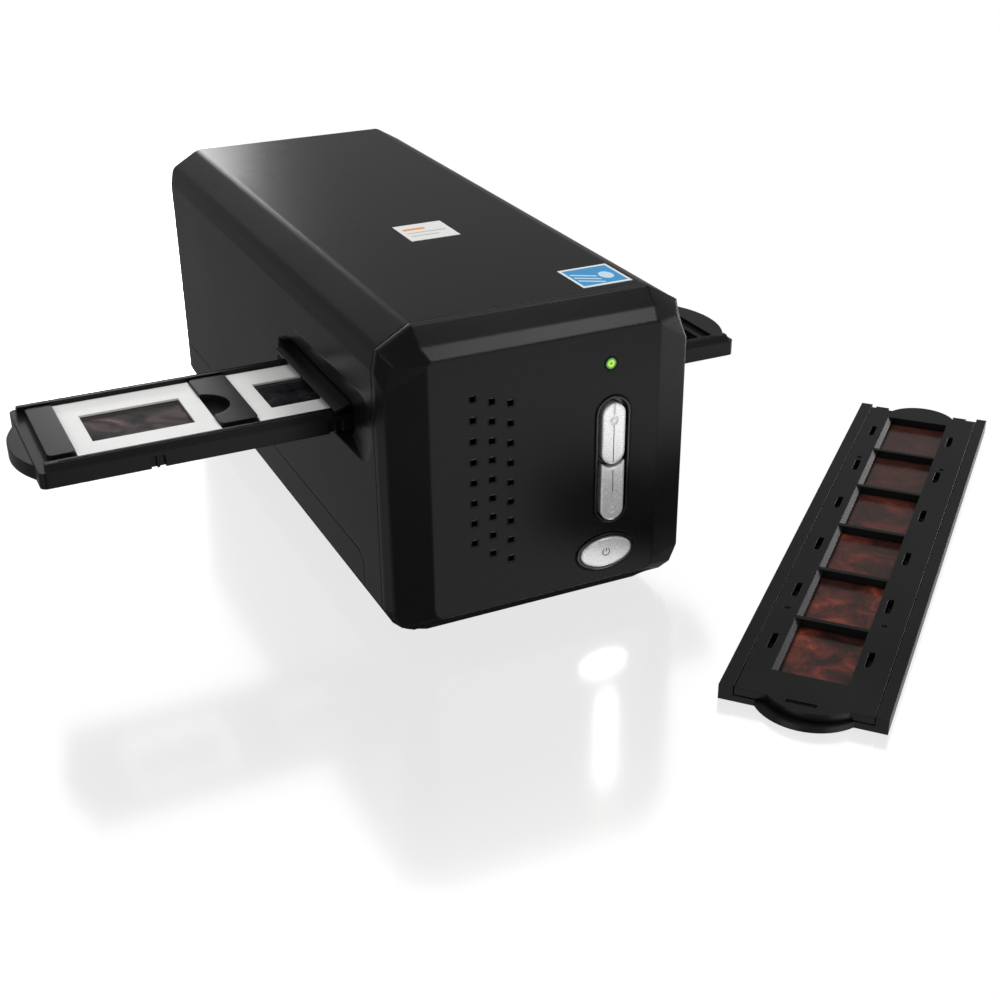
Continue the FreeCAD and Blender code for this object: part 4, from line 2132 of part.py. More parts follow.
for label, item in nodes.items():
    item.Shape.exportStep(os.path.join("parts", f"{label}.step"))
print(f"{len(nodes)} sub-parts written")
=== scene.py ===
import math

import bmesh
import bpy
from mathutils import Matrix, Vector


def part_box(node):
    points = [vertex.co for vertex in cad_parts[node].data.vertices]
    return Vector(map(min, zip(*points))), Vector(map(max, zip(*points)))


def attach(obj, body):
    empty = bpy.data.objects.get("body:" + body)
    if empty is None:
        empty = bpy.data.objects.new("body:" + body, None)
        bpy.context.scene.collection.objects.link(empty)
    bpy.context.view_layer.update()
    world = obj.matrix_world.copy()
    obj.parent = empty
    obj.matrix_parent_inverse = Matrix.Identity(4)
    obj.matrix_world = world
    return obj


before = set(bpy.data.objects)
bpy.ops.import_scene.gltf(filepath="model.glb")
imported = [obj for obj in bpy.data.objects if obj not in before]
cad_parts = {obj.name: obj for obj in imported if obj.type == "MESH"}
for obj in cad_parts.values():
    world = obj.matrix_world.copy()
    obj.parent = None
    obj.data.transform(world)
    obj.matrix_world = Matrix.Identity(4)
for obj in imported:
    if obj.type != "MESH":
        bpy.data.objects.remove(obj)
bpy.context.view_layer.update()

MM = 0.001
# The frame's origin, seen from the point on the table under the middle of the housing.
ORIGIN = Vector((43.885, -55.475, 0.0)) * MM


def place(x, y, z):
    """A point in millimetres about the housing's middle, in metres about the origin."""
    return Vector((x, y, z)) * MM - ORIGIN


# Materials

def start(name):
    material = bpy.data.materials.new(name)
    material.use_nodes = True
    tree = material.node_tree
    tree.nodes.clear()
    out = tree.nodes.new("ShaderNodeOutputMaterial")
    shader = tree.nodes.new("ShaderNodeBsdfPrincipled")
    tree.links.new(shader.outputs["BSDF"], out.inputs["Surface"])
    return material, tree, shader


def position(tree, turn=0.0, at=(0.0, 0.0, 0.0)):
    """The place on the piece in metres; with a turn about Z and a zero point where they are given."""
    coords = tree.nodes.new("ShaderNodeTexCoord")
    if not turn and not any(at):
        return coords.outputs["Object"]
    mapping = tree.nodes.new("ShaderNodeMapping")
    mapping.vector_type = "TEXTURE"
    mapping.inputs["Location"].default_value = at
    mapping.inputs["Rotation"].default_value = (0.0, 0.0, turn)
    tree.links.new(coords.outputs["Object"], mapping.inputs["Vector"])
    return mapping.outputs["Vector"]


def noise(tree, vector, scale, detail=2.0, roughness=0.5, distortion=0.0):
    node = tree.nodes.new("ShaderNodeTexNoise")
    node.inputs["Scale"].default_value = scale
    node.inputs["Detail"].default_value = detail
    node.inputs["Roughness"].default_value = roughness
    node.inputs["Distortion"].default_value = distortion
    tree.links.new(vector, node.inputs["Vector"])
    return node.outputs["Fac"]


def cell_edges(tree, vector, scale):
    node = tree.nodes.new("ShaderNodeTexVoronoi")
    node.feature = "DISTANCE_TO_EDGE"
    node.inputs["Scale"].default_value = scale
    tree.links.new(vector, node.inputs["Vector"])
    return node.outputs["Distance"]


def ramp(tree, factor, stops):
    """A colour or grey for each factor, blended between the stops."""
    node = tree.nodes.new("ShaderNodeValToRGB")
    elements = node.color_ramp.elements
    while len(elements) < len(stops):
        elements.new(0.5)
    for element, (at, colour) in zip(elements, stops):
        element.position = at
        if isinstance(colour, (int, float)):
            colour = (colour, colour, colour)
        element.color = (*colour, 1.0)
    tree.links.new(factor, node.inputs["Fac"])
    return node.outputs["Color"]


def calc(tree, operation, a, b=None, clamp=False):
    node = tree.nodes.new("ShaderNodeMath")
    node.operation = operation
    node.use_clamp = clamp
    for socket, value in zip(node.inputs, (a, b)):
        if value is None:
            continue
        if isinstance(value, (int, float)):
            socket.default_value = value
        else:
            tree.links.new(value, socket)
    return node.outputs[0]


def blend_colour(tree, factor, a, b):
    node = tree.nodes.new("ShaderNodeMix")
    node.data_type = "RGBA"
    colours = [socket for socket in node.inputs if socket.type == "RGBA"]
    for socket, value in zip(colours, (a, b)):
        if isinstance(value, tuple):
            socket.default_value = (*value, 1.0)
        else:
            tree.links.new(value, socket)
    tree.links.new(factor, node.inputs["Factor"])
    return next(socket for socket in node.outputs if socket.type == "RGBA")


def split(tree, vector):
    node = tree.nodes.new("ShaderNodeSeparateXYZ")
    tree.links.new(vector, node.inputs["Vector"])
    return node.outputs["X"], node.outputs["Y"], node.outputs["Z"]


def join(tree, x, y, z):
    node = tree.nodes.new("ShaderNodeCombineXYZ")
    for socket, value in zip(node.inputs, (x, y, z)):
        if isinstance(value, (int, float)):
            socket.default_value = value
        else:
            tree.links.new(value, socket)
    return node.outputs["Vector"]


def relief(tree, shader, height, strength, distance, edge=0.0):
    """Bump the surface; an edge radius also softens the light on its sharp edges."""
    node = tree.nodes.new("ShaderNodeBump")
    node.inputs["Strength"].default_value = strength
    node.inputs["Distance"].default_value = distance
    tree.links.new(height, node.inputs["Height"])
    if edge:
        soft = tree.nodes.new("ShaderNodeBevel")
        soft.samples = 6
        soft.inputs["Radius"].default_value = edge
        tree.links.new(soft.outputs["Normal"], node.inputs["Normal"])
    tree.links.new(node.outputs["Normal"], shader.inputs["Normal"])


HAZE_SCALE = 22.0
FINE_ROUGH = 0.06


def moulded(name, dark, light, rough, grain=2600.0, depth=0.00002, strength=0.35, level=0.35, edge=0.0005):
    """Moulded plastic: fine spark grain, a slow haze in its gloss and a slight change of tone."""
    material, tree, shader = start(name)
    vector = position(tree)
    cloud = noise(tree, vector, HAZE_SCALE, 3.0, 0.55)
    colour = ramp(tree, cloud, [(0.3, dark), (0.72, light)])
    tree.links.new(colour, shader.inputs["Base Color"])
    fine = noise(tree, vector, grain, 2.0, 0.6)
    gloss = calc(tree, "ADD", calc(tree, "MULTIPLY", cloud, rough[1] - rough[0]),
                 calc(tree, "MULTIPLY", fine, FINE_ROUGH))
    tree.links.new(calc(tree, "ADD", gloss, rough[0] - FINE_ROUGH / 2), shader.inputs["Roughness"])
    shader.inputs["Specular IOR Level"].default_value = level
    relief(tree, shader, fine, strength, depth, edge)
    return material


METAL_GRAIN = 900.0
METAL_EDGE = 0.0002


def metal(name, dark, light, rough, stretch=(1.0, 1.0, 1.0)):
    """Bare metal with its drawing or turning marks, which run along the axis of least stretch."""
    material, tree, shader = start(name)
    mapping = tree.nodes.new("ShaderNodeMapping")
    mapping.inputs["Scale"].default_value = stretch
    tree.links.new(position(tree), mapping.inputs["Vector"])
    marks = noise(tree, mapping.outputs["Vector"], METAL_GRAIN, 4.0, 0.6)
    tree.links.new(ramp(tree, marks, [(0.25, dark), (0.8, light)]), shader.inputs["Base Color"])
    tree.links.new(ramp(tree, marks, [(0.2, rough[0]), (0.8, rough[1])]), shader.inputs["Roughness"])
    shader.inputs["Metallic"].default_value = 1.0
    relief(tree, shader, marks, 0.2, 0.00001, METAL_EDGE)
    return material


TRACK_SCALE = 420.0


def circuit_board(name):
    """Solder mask over fine tracks."""
    material, tree, shader = start(name)
    vector = position(tree)
    tracks = cell_edges(tree, vector, TRACK_SCALE)
    mask = ramp(tree, tracks, [(0.05, (0.02, 0.17, 0.055)), (0.11, (0.012, 0.09, 0.03))])
    tree.links.new(mask, shader.inputs["Base Color"])
    gloss = ramp(tree, noise(tree, vector, 260.0), [(0.3, 0.24), (0.7, 0.36)])
    tree.links.new(gloss, shader.inputs["Roughness"])
    relief(tree, shader, tracks, 0.3, 0.00003)
    return material


CONDUCTOR_PITCH = 0.001


def flat_cable(name):
    """White flat cable with its row of conductors."""
    material, tree, shader = start(name)
    vector = position(tree)
    x, _, _ = split(tree, vector)
    wave = calc(tree, "SINE", calc(tree, "MULTIPLY", x, 2 * math.pi / CONDUCTOR_PITCH))
    stripes = calc(tree, "ADD", calc(tree, "MULTIPLY", wave, 0.5), 0.5)
    tree.links.new(ramp(tree, stripes, [(0.3, (0.82, 0.82, 0.8)), (0.7, (0.6, 0.6, 0.6))]),
                   shader.inputs["Base Color"])
    gloss = ramp(tree, noise(tree, vector, 300.0), [(0.3, 0.3), (0.7, 0.42)])
    tree.links.new(gloss, shader.inputs["Roughness"])
    relief(tree, shader, stripes, 0.3, 0.00005)
    return material


def clear(name, tint, rough):
    material, tree, shader = start(name)
    vector = position(tree)
    film = noise(tree, vector, 180.0, 2.0)
    tree.links.new(ramp(tree, film, [(0.3, tint), (0.8, tuple(min(1.0, c * 1.08) for c in tint))]),
                   shader.inputs["Base Color"])
    tree.links.new(ramp(tree, film, [(0.3, rough), (0.8, rough + 0.03)]), shader.inputs["Roughness"])
    shader.inputs["Transmission Weight"].default_value = 1.0
    return material


def mirror_glass(name):
    material, tree, shader = start(name)
    film = noise(tree, position(tree), 150.0)
    tree.links.new(ramp(tree, film, [(0.3, (0.86, 0.88, 0.9)), (0.8, (0.93, 0.94, 0.95))]),
                   shader.inputs["Base Color"])
    tree.links.new(ramp(tree, film, [(0.3, 0.02), (0.8, 0.05)]), shader.inputs["Roughness"])
    shader.inputs["Metallic"].default_value = 1.0
    return material


def card(name):
    """White slide mount: smooth plastic, a little yellow in places, with a fine grain."""
    material, tree, shader = start(name)
    vector = position(tree)
    cloud = noise(tree, vector, 60.0, 3.0)
    tree.links.new(ramp(tree, cloud, [(0.3, (0.83, 0.83, 0.81)), (0.75, (0.9, 0.9, 0.89))]),
                   shader.inputs["Base Color"])
    fine = noise(tree, vector, 1800.0, 2.0)
    tree.links.new(ramp(tree, fine, [(0.3, 0.42), (0.7, 0.52)]), shader.inputs["Roughness"])
    relief(tree, shader, fine, 0.25, 0.00002, 0.0003)
    return material


def inside(tree, value, low, high):
    """1 where a value lies in a range and 0 elsewhere."""
    above = calc(tree, "GREATER_THAN", value, low)
    return calc(tree, "MULTIPLY", above, calc(tree, "LESS_THAN", value, high))


# The two slides lie on either side of this place, in millimetres about the housing's middle.
BETWEEN_SLIDES = -90.0


def picture_film(name):
    """Two small transparencies: a warm brown one and a dark one, both only clouds of tone."""
    material, tree, shader = start(name)
    vector = position(tree)
    x, _, _ = split(tree, vector)
    second = calc(tree, "GREATER_THAN", x, place(BETWEEN_SLIDES, 0, 0).x)
    swirl = noise(tree, vector, 70.0, 5.0, 0.6, 1.1)
    warm = ramp(tree, swirl, [(0.36, (0.006, 0.005, 0.006)), (0.52, (0.018, 0.01, 0.01)),
                              (0.63, (0.05, 0.018, 0.013)), (0.76, (0.2, 0.06, 0.025))])
    grey = ramp(tree, noise(tree, vector, 140.0, 5.0, 0.6, 0.6),
                [(0.35, (0.004, 0.004, 0.005)), (0.62, (0.02, 0.021, 0.024)), (0.8, (0.06, 0.06, 0.065))])
    tree.links.new(blend_colour(tree, second, warm, grey), shader.inputs["Base Color"])
    tree.links.new(ramp(tree, swirl, [(0.3, 0.12), (0.7, 0.22)]), shader.inputs["Roughness"])
    shader.inputs["Specular IOR Level"].default_value = 0.16
    relief(tree, shader, noise(tree, vector, 2200.0), 0.15, 0.00001)
    return material


# The film strip: places in metres along and across its holder, and ends as shares of a pitch.
STRIP_TURN = math.radians(-48.13)
STRIP_PLACE = place(29.3, -202.8, 0.0)
FIRST_FRAME = 0.0144
FRAME_PITCH = 0.038
FRAME_ENDS = (0.027, 0.973)
FRAME_SIDES = (0.0163, 0.0403)
FILM_MIDDLE = 0.0283
HOLE_PITCH = 0.00475
HOLE_ENDS = (0.29, 0.71)
HOLE_SIDES = (0.0127, 0.0155)
# The clouds move on by this much with each frame, and the frames grow fainter towards the hinge.
FRAME_SHIFT = (0.31, 0.17)
FADE_FROM = 0.6
FADE_FRAMES = 5.0


def strip_film(name):
    """Colour negative: six frames of reddish-brown clouds on a dark base with two rows of holes."""
    material, tree, shader = start(name)
    vector = position(tree, STRIP_TURN, tuple(STRIP_PLACE))
    across, along, _ = split(tree, vector)
    steps = calc(tree, "DIVIDE", calc(tree, "SUBTRACT", along, FIRST_FRAME), FRAME_PITCH)
    index = calc(tree, "FLOOR", steps)
    moved = join(tree, calc(tree, "ADD", across, calc(tree, "MULTIPLY", index, FRAME_SHIFT[0])), along,
                 calc(tree, "MULTIPLY", index, FRAME_SHIFT[1]))
    swirl = noise(tree, moved, 75.0, 7.0, 0.66, 0.5)
    tones = ramp(tree, swirl, [(0.34, (0.012, 0.005, 0.004)), (0.47, (0.035, 0.011, 0.008)),
                               (0.58, (0.11, 0.02, 0.012)), (0.72, (0.3, 0.06, 0.03))])
    faint = ramp(tree, swirl, [(0.3, (0.02, 0.008, 0.006)), (0.7, (0.06, 0.018, 0.013))])
    fade = calc(tree, "MULTIPLY", calc(tree, "SUBTRACT", steps, FADE_FROM), 1 / FADE_FRAMES, clamp=True)
    picture = blend_colour(tree, fade, tones, faint)
    framed = calc(tree, "MULTIPLY", inside(tree, calc(tree, "SUBTRACT", steps, index), *FRAME_ENDS),
                  inside(tree, across, *FRAME_SIDES))
    holes = calc(tree, "FRACT", calc(tree, "DIVIDE", along, HOLE_PITCH))
    off_middle = calc(tree, "ABSOLUTE", calc(tree, "SUBTRACT", across, FILM_MIDDLE))
    pierced = calc(tree, "MULTIPLY", inside(tree, holes, *HOLE_ENDS), inside(tree, off_middle, *HOLE_SIDES))
    edge = blend_colour(tree, pierced, (0.03, 0.012, 0.008), (0.003, 0.003, 0.003))
    tree.links.new(blend_colour(tree, framed, edge, picture), shader.inputs["Base Color"])
    tree.links.new(ramp(tree, swirl, [(0.3, 0.14), (0.7, 0.26)]), shader.inputs["Roughness"])
    shader.inputs["Specular IOR Level"].default_value = 0.4
    relief(tree, shader, noise(tree, vector, 2400.0), 0.15, 0.00001)
    return material


def label_face(name, centre, half, paint):
    """A printed sticker; paint gets its two face coordinates, each from -1 to 1."""
    material, tree, shader = start(name)
    x, y, _ = split(tree, position(tree, 0.0, tuple(centre)))
    u = calc(tree, "DIVIDE", x, half[0])
    v = calc(tree, "DIVIDE", y, half[1])
    tree.links.new(paint(tree, u, v), shader.inputs["Base Color"])
    fibre = noise(tree, position(tree), 1500.0, 3.0)
    tree.links.new(ramp(tree, fibre, [(0.3, 0.3), (0.7, 0.42)]), shader.inputs["Roughness"])
    relief(tree, shader, fibre, 0.15, 0.00001)
    return material


def plain_paint(tree, u, v):
    """White paper with one orange rule and two short grey ones."""
    colour = (0.86, 0.86, 0.85)
    rules = (
        (-0.8, 0.1, 0.28, 0.5, (0.85, 0.33, 0.06)),
        (-0.8, 0.8, -0.12, -0.02, (0.5, 0.5, 0.5)),
        (-0.8, 0.35, -0.5, -0.4, (0.5, 0.5, 0.5)),
    )
    for left, right, low, high, ink in rules:
        mask = calc(tree, "MULTIPLY", inside(tree, u, left, right), inside(tree, v, low, high))
        colour = blend_colour(tree, mask, colour, ink)
    return colour


DISC_PLACE = (0.42, -0.1)
DISC_SQUASH = 1.35
DISC_REACH = 0.36
RULE_SLANT = 0.55
RULE_HALF = 0.06


def blue_paint(tree, u, v):
    """A blue field with a pale border, a light disc on its right and three pale slanting rules."""
    field = calc(tree, "MULTIPLY", inside(tree, u, -0.9, 0.9), inside(tree, v, -0.86, 0.86))
    colour = blend_colour(tree, field, (0.84, 0.88, 0.9), (0.03, 0.3, 0.62))
    offset = calc(tree, "MULTIPLY", calc(tree, "SUBTRACT", u, DISC_PLACE[0]), DISC_SQUASH)
    rise = calc(tree, "SUBTRACT", v, DISC_PLACE[1])
    reach = calc(tree, "SQRT", calc(tree, "ADD", calc(tree, "MULTIPLY", offset, offset),
                                    calc(tree, "MULTIPLY", rise, rise)))
    disc = calc(tree, "LESS_THAN", reach, DISC_REACH)
    colour = blend_colour(tree, disc, colour, (0.6, 0.8, 0.9))
    slant = calc(tree, "ADD", v, calc(tree, "MULTIPLY", u, RULE_SLANT))
    for middle in (-0.05, -0.38, -0.71):
        rule = calc(tree, "MULTIPLY", inside(tree, slant, middle - RULE_HALF, middle + RULE_HALF),
                    calc(tree, "MULTIPLY", inside(tree, u, -0.8, 0.05), inside(tree, v, -0.78, 0.7)))
        colour = blend_colour(tree, rule, colour, (0.62, 0.82, 0.92))
    return colour


# Radius of the lens that shows in its hole
LENS_SEEN = 0.0023
LENS_GLOW = 0.8


def lit_lens(name):
    """Green status lens with its lamp behind it."""
    material, tree, shader = start(name)
    vector = position(tree)
    low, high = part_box("status_lens")
    x, _, z = split(tree, position(tree, 0.0, tuple((low + high) / 2)))
    square = calc(tree, "ADD", calc(tree, "MULTIPLY", x, x), calc(tree, "MULTIPLY", z, z))
    reach = calc(tree, "SQRT", square)
    ring = calc(tree, "DIVIDE", reach, LENS_SEEN)
    uneven = calc(tree, "ADD", ring, calc(tree, "MULTIPLY", noise(tree, vector, 700.0, 2.0), 0.2))
    # The base colour holds the same bright ring as the glow: the lamp's light and a highlight painted into
    # the lens's own colour.
    body = [(0.2, (0.02, 0.16, 0.01)), (0.5, (0.3, 0.5, 0.04)), (0.8, (0.03, 0.16, 0.01)),
            (1.0, (0.003, 0.01, 0.003))]
    tree.links.new(ramp(tree, uneven, body), shader.inputs["Base Color"])
    glow = [(0.2, (0.02, 0.2, 0.01)), (0.5, (0.42, 0.72, 0.05)), (0.8, (0.03, 0.25, 0.01)),
            (1.0, (0.0, 0.0, 0.0))]
    tree.links.new(ramp(tree, uneven, glow), shader.inputs["Emission Color"])
    shader.inputs["Emission Strength"].default_value = LENS_GLOW
    shader.inputs["Roughness"].default_value = 0.12
    return material


CASE = moulded("case_black", (0.0028, 0.0028, 0.003), (0.0048, 0.0048, 0.005), (0.24, 0.33), level=0.14,
               edge=0.0014)
GLOSS = moulded("gloss_black", (0.003, 0.003, 0.0033), (0.005, 0.005, 0.0055), (0.1, 0.17), grain=900.0,
                depth=0.000006, strength=0.12, level=0.4, edge=0.0006)
HOLDER = moulded("holder_black", (0.004, 0.004, 0.0043), (0.007, 0.007, 0.0074), (0.26, 0.38), level=0.16,
                 edge=0.0005)
FLAP = moulded("flap_black", (0.004, 0.004, 0.0043), (0.007, 0.007, 0.0074), (0.18, 0.28), level=0.2,
               edge=0.0005)
RUBBER = moulded("foot_rubber", (0.012, 0.012, 0.012), (0.022, 0.022, 0.021), (0.7, 0.85), grain=1500.0,
                 depth=0.00004, strength=0.5, level=0.25)
GREY = moulded("grey_plastic", (0.09, 0.09, 0.095), (0.13, 0.13, 0.135), (0.4, 0.55))
WHITE = moulded("white_plastic", (0.72, 0.72, 0.7), (0.8, 0.8, 0.78), (0.35, 0.5))
CHIP = moulded("chip_black", (0.014, 0.014, 0.015), (0.022, 0.022, 0.024), (0.35, 0.5))
BELT = moulded("belt_rubber", (0.01, 0.01, 0.01), (0.02, 0.02, 0.02), (0.6, 0.75), grain=1200.0, strength=0.6)
STEEL = metal("zinc_steel", (0.42, 0.42, 0.44), (0.66, 0.66, 0.67), (0.22, 0.38))
ROD = metal("ground_steel", (0.55, 0.55, 0.57), (0.75, 0.75, 0.76), (0.12, 0.24), stretch=(1.0, 0.08, 1.0))
BRASS = metal("turned_brass", (0.55, 0.4, 0.16), (0.78, 0.6, 0.28), (0.2, 0.34), stretch=(0.1, 1.0, 1.0))
BOARD = circuit_board("board_green")
CABLE = flat_cable("flat_cable")
GLASS = clear("lens_glass", (0.9, 0.94, 0.96), 0.02)
MIRROR = mirror_glass("mirror_glass")
CARD = card("mount_card")
SLIDE_FILM = picture_film("slide_film")
STRIP_FILM = strip_film("strip_film")
LENS = lit_lens("status_green")


def silver(name):
    """Silver lacquer over moulded plastic, with fine flakes."""
    material, tree, shader = start(name)
    vector = position(tree)
    flakes = noise(tree, vector, 3200.0, 2.0, 0.7)
    tree.links.new(ramp(tree, flakes, [(0.3, (0.62, 0.62, 0.63)), (0.75, (0.76, 0.76, 0.77))]),
                   shader.inputs["Base Color"])
    tree.links.new(ramp(tree, flakes, [(0.3, 0.2), (0.75, 0.32)]), shader.inputs["Roughness"])
    shader.inputs["Metallic"].default_value = 0.5
    shader.inputs["Coat Weight"].default_value = 0.4
    shader.inputs["Coat Roughness"].default_value = 0.06
    relief(tree, shader, flakes, 0.12, 0.00001, 0.0012)
    return material


SILVER = silver("silver_lacquer")

plain_low, plain_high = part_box("plain_label")
blue_low, blue_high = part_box("blue_label")
PLAIN = label_face("plain_sticker", (plain_low + plain_high) / 2,
                   ((plain_high.x - plain_low.x) / 2, (plain_high.y - plain_low.y) / 2), plain_paint)
BLUE = label_face("blue_sticker", (blue_low + blue_high) / 2,
                  ((blue_high.x - blue_low.x) / 2, (blue_high.y - blue_low.y) / 2), blue_paint)

FINISHES = {
    CASE: ["base_tray", "top_cover", "front_bezel", "rear_panel"],
    GLOSS: ["button_surround", "power_button_ring"],
    HOLDER: ["slide_holder", "strip_holder_base", "strip_holder_lid"],
    FLAP: ["left_dust_flap", "right_dust_flap"],
    RUBBER: ["rubber_feet"],
    GREY: ["optics_chassis", "holder_track", "idler_bracket", "scan_carriage", "lamp_arm", "lamp_housing",
           "lens_barrel", "belt_clamp"],
    WHITE: ["lamp_led_bar", "lamp_diffuser", "drive_pulley", "idler_pulley"],
    CHIP: ["key_switches", "board_chips", "power_socket", "image_sensor"],
    BELT: ["timing_belt"],
    STEEL: ["case_screws", "board_screws", "chassis_screws", "motor_screws", "carriage_screws", "steel_pins",
            "detent_spring", "stepper_motor", "motor_bracket", "idler_spring", "data_socket"],
    ROD: ["guide_rods"],
    BRASS: ["carriage_bushings", "motor_pinion"],
    BOARD: ["key_board", "main_board", "sensor_board"],
    CABLE: ["key_cable", "carriage_cable"],
    GLASS: ["lens_elements"],
    MIRROR: ["scan_mirror"],
    CARD: ["slide_mounts"],
    SLIDE_FILM: ["slide_films"],
    STRIP_FILM: ["film_strip"],
    LENS: ["status_lens", "status_led"],
    SILVER: ["upper_scan_button", "lower_scan_button", "power_button"],
    PLAIN: ["plain_label"],
    BLUE: ["blue_label"],
}
for material, names in FINISHES.items():
    for name in names:
        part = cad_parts[name]
        part.data.materials.clear()
        part.data.materials.append(material)
bare = [name for name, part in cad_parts.items() if not part.data.materials]
if bare:
    raise RuntimeError(f"no finish for {bare}")


# The mark on the power button, an open ring and a bar, and the fine line down both scan buttons

def mesh_piece(name, bm, material):
    mesh = bpy.data.meshes.new(name)
    bm.to_mesh(mesh)
    bm.free()
    piece = bpy.data.objects.new(name, mesh)
    bpy.context.scene.collection.objects.link(piece)
    piece.data.materials.append(material)
    return piece


MARK_RADIUS = 0.0014
MARK_STROKE = 0.00035
MARK_GAP = math.radians(35.0)
MARK_PROUD = 0.00004
MARK_DEPTH = 0.0002
MARK_STEPS = 28
MARK_BAR_SHARES = (0.05, 0.6, 1.15)
RAY_START = 1.0


def ribbon(bm, button, points, stroke=MARK_STROKE):
    """A raised line along points (right, up) in metres, laid on the front of the button."""
    rows = []
    for index, (x, z) in enumerate(points):
        before = Vector(points[max(index - 1, 0)])
        after = Vector(points[min(index + 1, len(points) - 1)])
        along = (after - before).normalized()
        across = Vector((-along.y, along.x)) * stroke / 2
        row = []
        for sign in (-1, 1):
            start_point = Vector((x + across.x * sign, button_low.y - RAY_START, z + across.y * sign))
            hit, spot, _, _ = button.ray_cast(start_point, Vector((0.0, 1.0, 0.0)))
            if not hit:
                raise RuntimeError("the mark misses its button")
            row.append(bm.verts.new(spot - Vector((0.0, MARK_PROUD, 0.0))))
            row.append(bm.verts.new(spot + Vector((0.0, MARK_DEPTH, 0.0))))
        rows.append(row)
    for a, b in zip(rows, rows[1:]):
        for i, j in ((0, 2), (2, 3), (3, 1), (1, 0)):
            bm.faces.new((a[i], a[j], b[j], b[i]))
    for end in (rows[0], rows[-1]):
        bm.faces.new((end[0], end[1], end[3], end[2]))


button_low, button_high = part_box("power_button")
button_x = (button_low.x + button_high.x) / 2
button_z = (button_low.z + button_high.z) / 2
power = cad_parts["power_button"]
bm = bmesh.new()
turns = [MARK_GAP + (2 * math.pi - 2 * MARK_GAP) * step / MARK_STEPS for step in range(MARK_STEPS + 1)]
ribbon(bm, power, [(button_x + MARK_RADIUS * math.sin(turn), button_z + MARK_RADIUS * math.cos(turn))
                   for turn in turns])
ribbon(bm, power, [(button_x, button_z + MARK_RADIUS * share) for share in MARK_BAR_SHARES])
bmesh.ops.recalc_face_normals(bm, faces=bm.faces)
MARK = moulded("mark_grey", (0.03, 0.03, 0.032), (0.05, 0.05, 0.052), (0.3, 0.4), edge=0.0)
power_mark = mesh_piece("power_mark", bm, MARK)
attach(power_mark, "power_button_body")

# Each line runs from a height above its button's low end to one below its top.
LINE_STROKE = 0.0003
for name, body, above_low, below_top in (("upper_scan", "upper_button_body", 0.0006, 0.0083),
                                         ("lower_scan", "lower_button_body", 0.0113, 0.0032)):
    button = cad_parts[f"{name}_button"]
    low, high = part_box(f"{name}_button")
    x = (low.x + high.x) / 2
    bm = bmesh.new()
    ribbon(bm, button, [(x, low.z + above_low), (x, high.z - below_top)], LINE_STROKE)
    bmesh.ops.recalc_face_normals(bm, faces=bm.faces)
    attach(mesh_piece(f"{name}_line", bm, MARK), body)


# Floor, lights and camera

# Together the floor's own light and the sky that it mirrors make a plain white of 1.
FLOOR_GLOSS = 0.7
SKY_LEVEL = 0.32
FLOOR_SEEN = (1.0 - FLOOR_GLOSS * SKY_LEVEL) / (1.0 - FLOOR_GLOSS)
# What other surfaces see of the table is painted: painted shade beside the housing, and in front and to the
# right a painted glow far brighter than white that also lights them.
FLOOR_SHADE_AND_GLOW = (0.06, 3.2)
FLOOR_EDGE = (0.07, 0.3)
FLOOR_SLANT = 0.8
FLOOR_ROUGH = 0.16
FLOOR_HALF = 6.0
FLOOR_DROP = 0.0002


def floor_material():
    """Pale glossy table: white as the camera sees it; to all other rays it shows painted shade beside the
    housing and a painted glow ahead.
    """
    material = bpy.data.materials.new("floor")
    material.use_nodes = True
    tree = material.node_tree
    tree.nodes.clear()
    out = tree.nodes.new("ShaderNodeOutputMaterial")
    glow = tree.nodes.new("ShaderNodeEmission")
    glow.inputs["Color"].default_value = (1.0, 1.0, 1.0, 1.0)
    rays = tree.nodes.new("ShaderNodeLightPath")
    x, y, _ = split(tree, position(tree))
    ahead = calc(tree, "MULTIPLY", calc(tree, "SUBTRACT", x, y), FLOOR_SLANT)
    # Painted shade near the housing rising to a painted glow ahead: the strength that all rays but the
    # camera's see.
    shade_and_glow = tree.nodes.new("ShaderNodeMapRange")
    shade_and_glow.interpolation_type = "SMOOTHSTEP"
    tree.links.new(ahead, shade_and_glow.inputs["Value"])
    for name, value in zip(("From Min", "From Max", "To Min", "To Max"), (*FLOOR_EDGE, *FLOOR_SHADE_AND_GLOW)):
        shade_and_glow.inputs[name].default_value = value
    seen = calc(tree, "MULTIPLY", rays.outputs["Is Camera Ray"], FLOOR_SEEN)
    others = calc(tree, "MULTIPLY", calc(tree, "SUBTRACT", 1.0, rays.outputs["Is Camera Ray"]),
                  shade_and_glow.outputs["Result"])
    tree.links.new(calc(tree, "ADD", seen, others), glow.inputs["Strength"])
    gloss = tree.nodes.new("ShaderNodeBsdfGlossy")
    gloss.inputs["Color"].default_value = (1.0, 1.0, 1.0, 1.0)
    gloss.inputs["Roughness"].default_value = FLOOR_ROUGH
    mix = tree.nodes.new("ShaderNodeMixShader")
    mix.inputs["Fac"].default_value = FLOOR_GLOSS
    tree.links.new(glow.outputs["Emission"], mix.inputs[1])
    tree.links.new(gloss.outputs["BSDF"], mix.inputs[2])
    tree.links.new(mix.outputs["Shader"], out.inputs["Surface"])
    return material


bm = bmesh.new()
bmesh.ops.create_grid(bm, x_segments=1, y_segments=1, size=FLOOR_HALF)
floor = mesh_piece("floor", bm, floor_material())
floor.location.z = -FLOOR_DROP

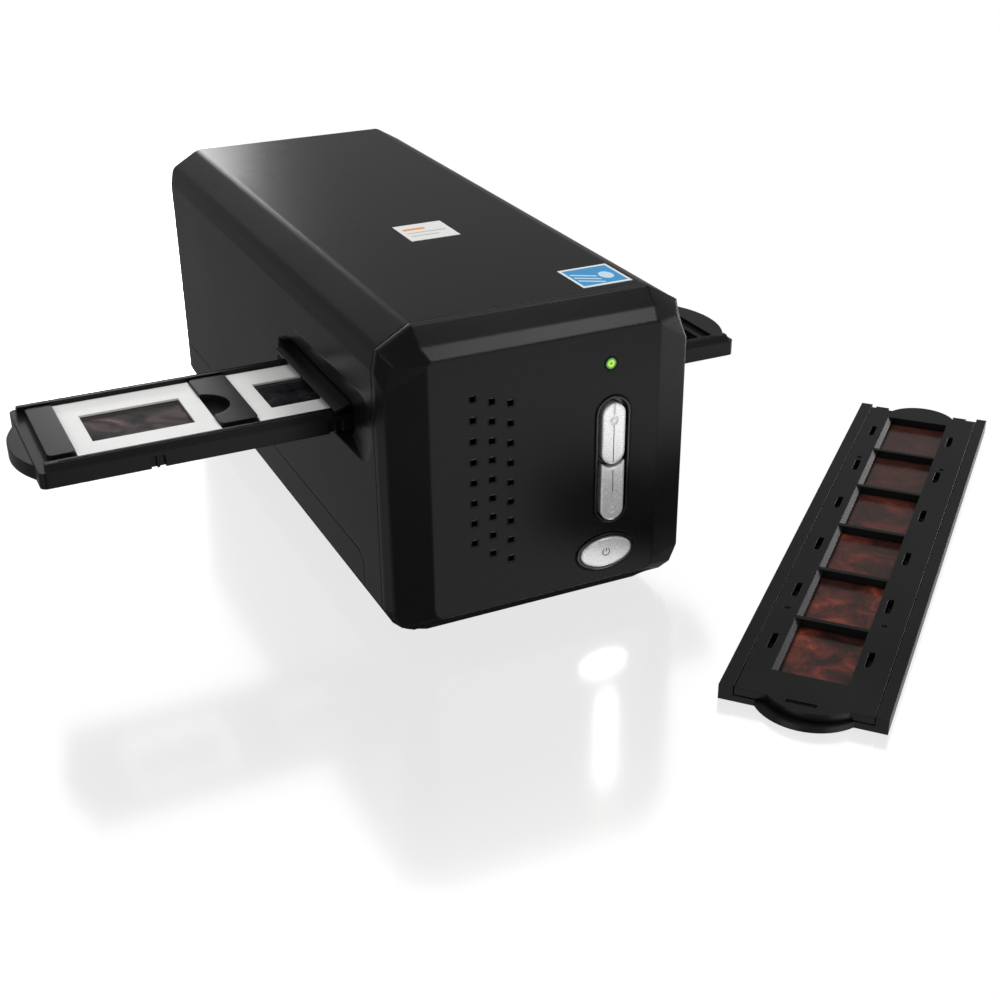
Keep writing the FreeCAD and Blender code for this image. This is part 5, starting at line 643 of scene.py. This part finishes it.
world = bpy.data.worlds.new("studio")
bpy.context.scene.world = world
world.use_nodes = True
tree = world.node_tree
tree.nodes.clear()
out = tree.nodes.new("ShaderNodeOutputWorld")
seen = tree.nodes.new("ShaderNodeBackground")
seen.inputs["Color"].default_value = (1.0, 1.0, 1.0, 1.0)
lit = tree.nodes.new("ShaderNodeBackground")
lit.inputs["Color"].default_value = (1.0, 1.0, 1.0, 1.0)
lit.inputs["Strength"].default_value = SKY_LEVEL
path = tree.nodes.new("ShaderNodeLightPath")
mix = tree.nodes.new("ShaderNodeMixShader")
tree.links.new(path.outputs["Is Camera Ray"], mix.inputs["Fac"])
tree.links.new(lit.outputs["Background"], mix.inputs[1])
tree.links.new(seen.outputs["Background"], mix.inputs[2])
tree.links.new(mix.outputs["Shader"], out.inputs["Surface"])


def softbox(name, at, towards, width, height, power):
    light = bpy.data.lights.new(name, "AREA")
    light.shape = "RECTANGLE"
    light.size = width
    light.size_y = height
    light.energy = power
    lamp = bpy.data.objects.new(name, light)
    bpy.context.scene.collection.objects.link(lamp)
    lamp.location = at
    lamp.rotation_euler = (Vector(towards) - Vector(at)).to_track_quat("-Z", "Y").to_euler()
    return lamp


# Each light's place and what it points at, then its width, height and power
LIGHTS = {
    "top_light": ((0.1, 0.4, 1.3), (0.0, 0.0, 0.05), 1.2, 0.9, 6.0),
    "back_light": (place(190.0, 1570.0, 440.0), place(-45.0, 130.0, 118.0), 0.34, 0.2, 2.2),
    "brow_light": (place(560.0, -170.0, 1250.0), place(0.0, -127.0, 113.0), 0.45, 0.3, 3.2),
    "front_light": (place(420.0, -1250.0, 700.0), place(0.0, -134.0, 80.0), 0.9, 0.5, 3.5),
    "right_light": (place(1400.0, 200.0, 260.0), place(200.0, -150.0, 5.0), 0.6, 0.35, 3.5),
    "side_light": ((-1.2, -0.5, 0.8), (0.0, 0.0, 0.05), 0.8, 0.6, 3.5),
}
for name, settings in LIGHTS.items():
    softbox(name, *settings)

# The camera, fitted to the housing's edges in the photograph
CAMERA_PLACE = place(-217.39, -556.185, 292.884)
CAMERA_YAW = 0.4406
CAMERA_PITCH = 0.4729
CAMERA_ROLL = -0.0100
CAMERA_SENSOR = 36.0
CAMERA_LENS = 54.82
CAMERA_NEAR = 0.01

camera_data = bpy.data.cameras.new("camera")
camera_data.sensor_width = CAMERA_SENSOR
camera_data.lens = CAMERA_LENS
camera_data.clip_start = CAMERA_NEAR
camera = bpy.data.objects.new("camera", camera_data)
bpy.context.scene.collection.objects.link(camera)
level = math.cos(CAMERA_PITCH)
forward = Vector((math.sin(CAMERA_YAW) * level, math.cos(CAMERA_YAW) * level, -math.sin(CAMERA_PITCH)))
right = Vector((math.cos(CAMERA_YAW), -math.sin(CAMERA_YAW), 0.0))
up = right.cross(forward)
side = right * math.cos(CAMERA_ROLL) + up * math.sin(CAMERA_ROLL)
rise = up * math.cos(CAMERA_ROLL) - right * math.sin(CAMERA_ROLL)
turn = Matrix((side, rise, -forward)).transposed()
camera.matrix_world = Matrix.Translation(CAMERA_PLACE) @ turn.to_4x4()
bpy.context.scene.camera = camera
bpy.context.scene.view_settings.view_transform = "Standard"
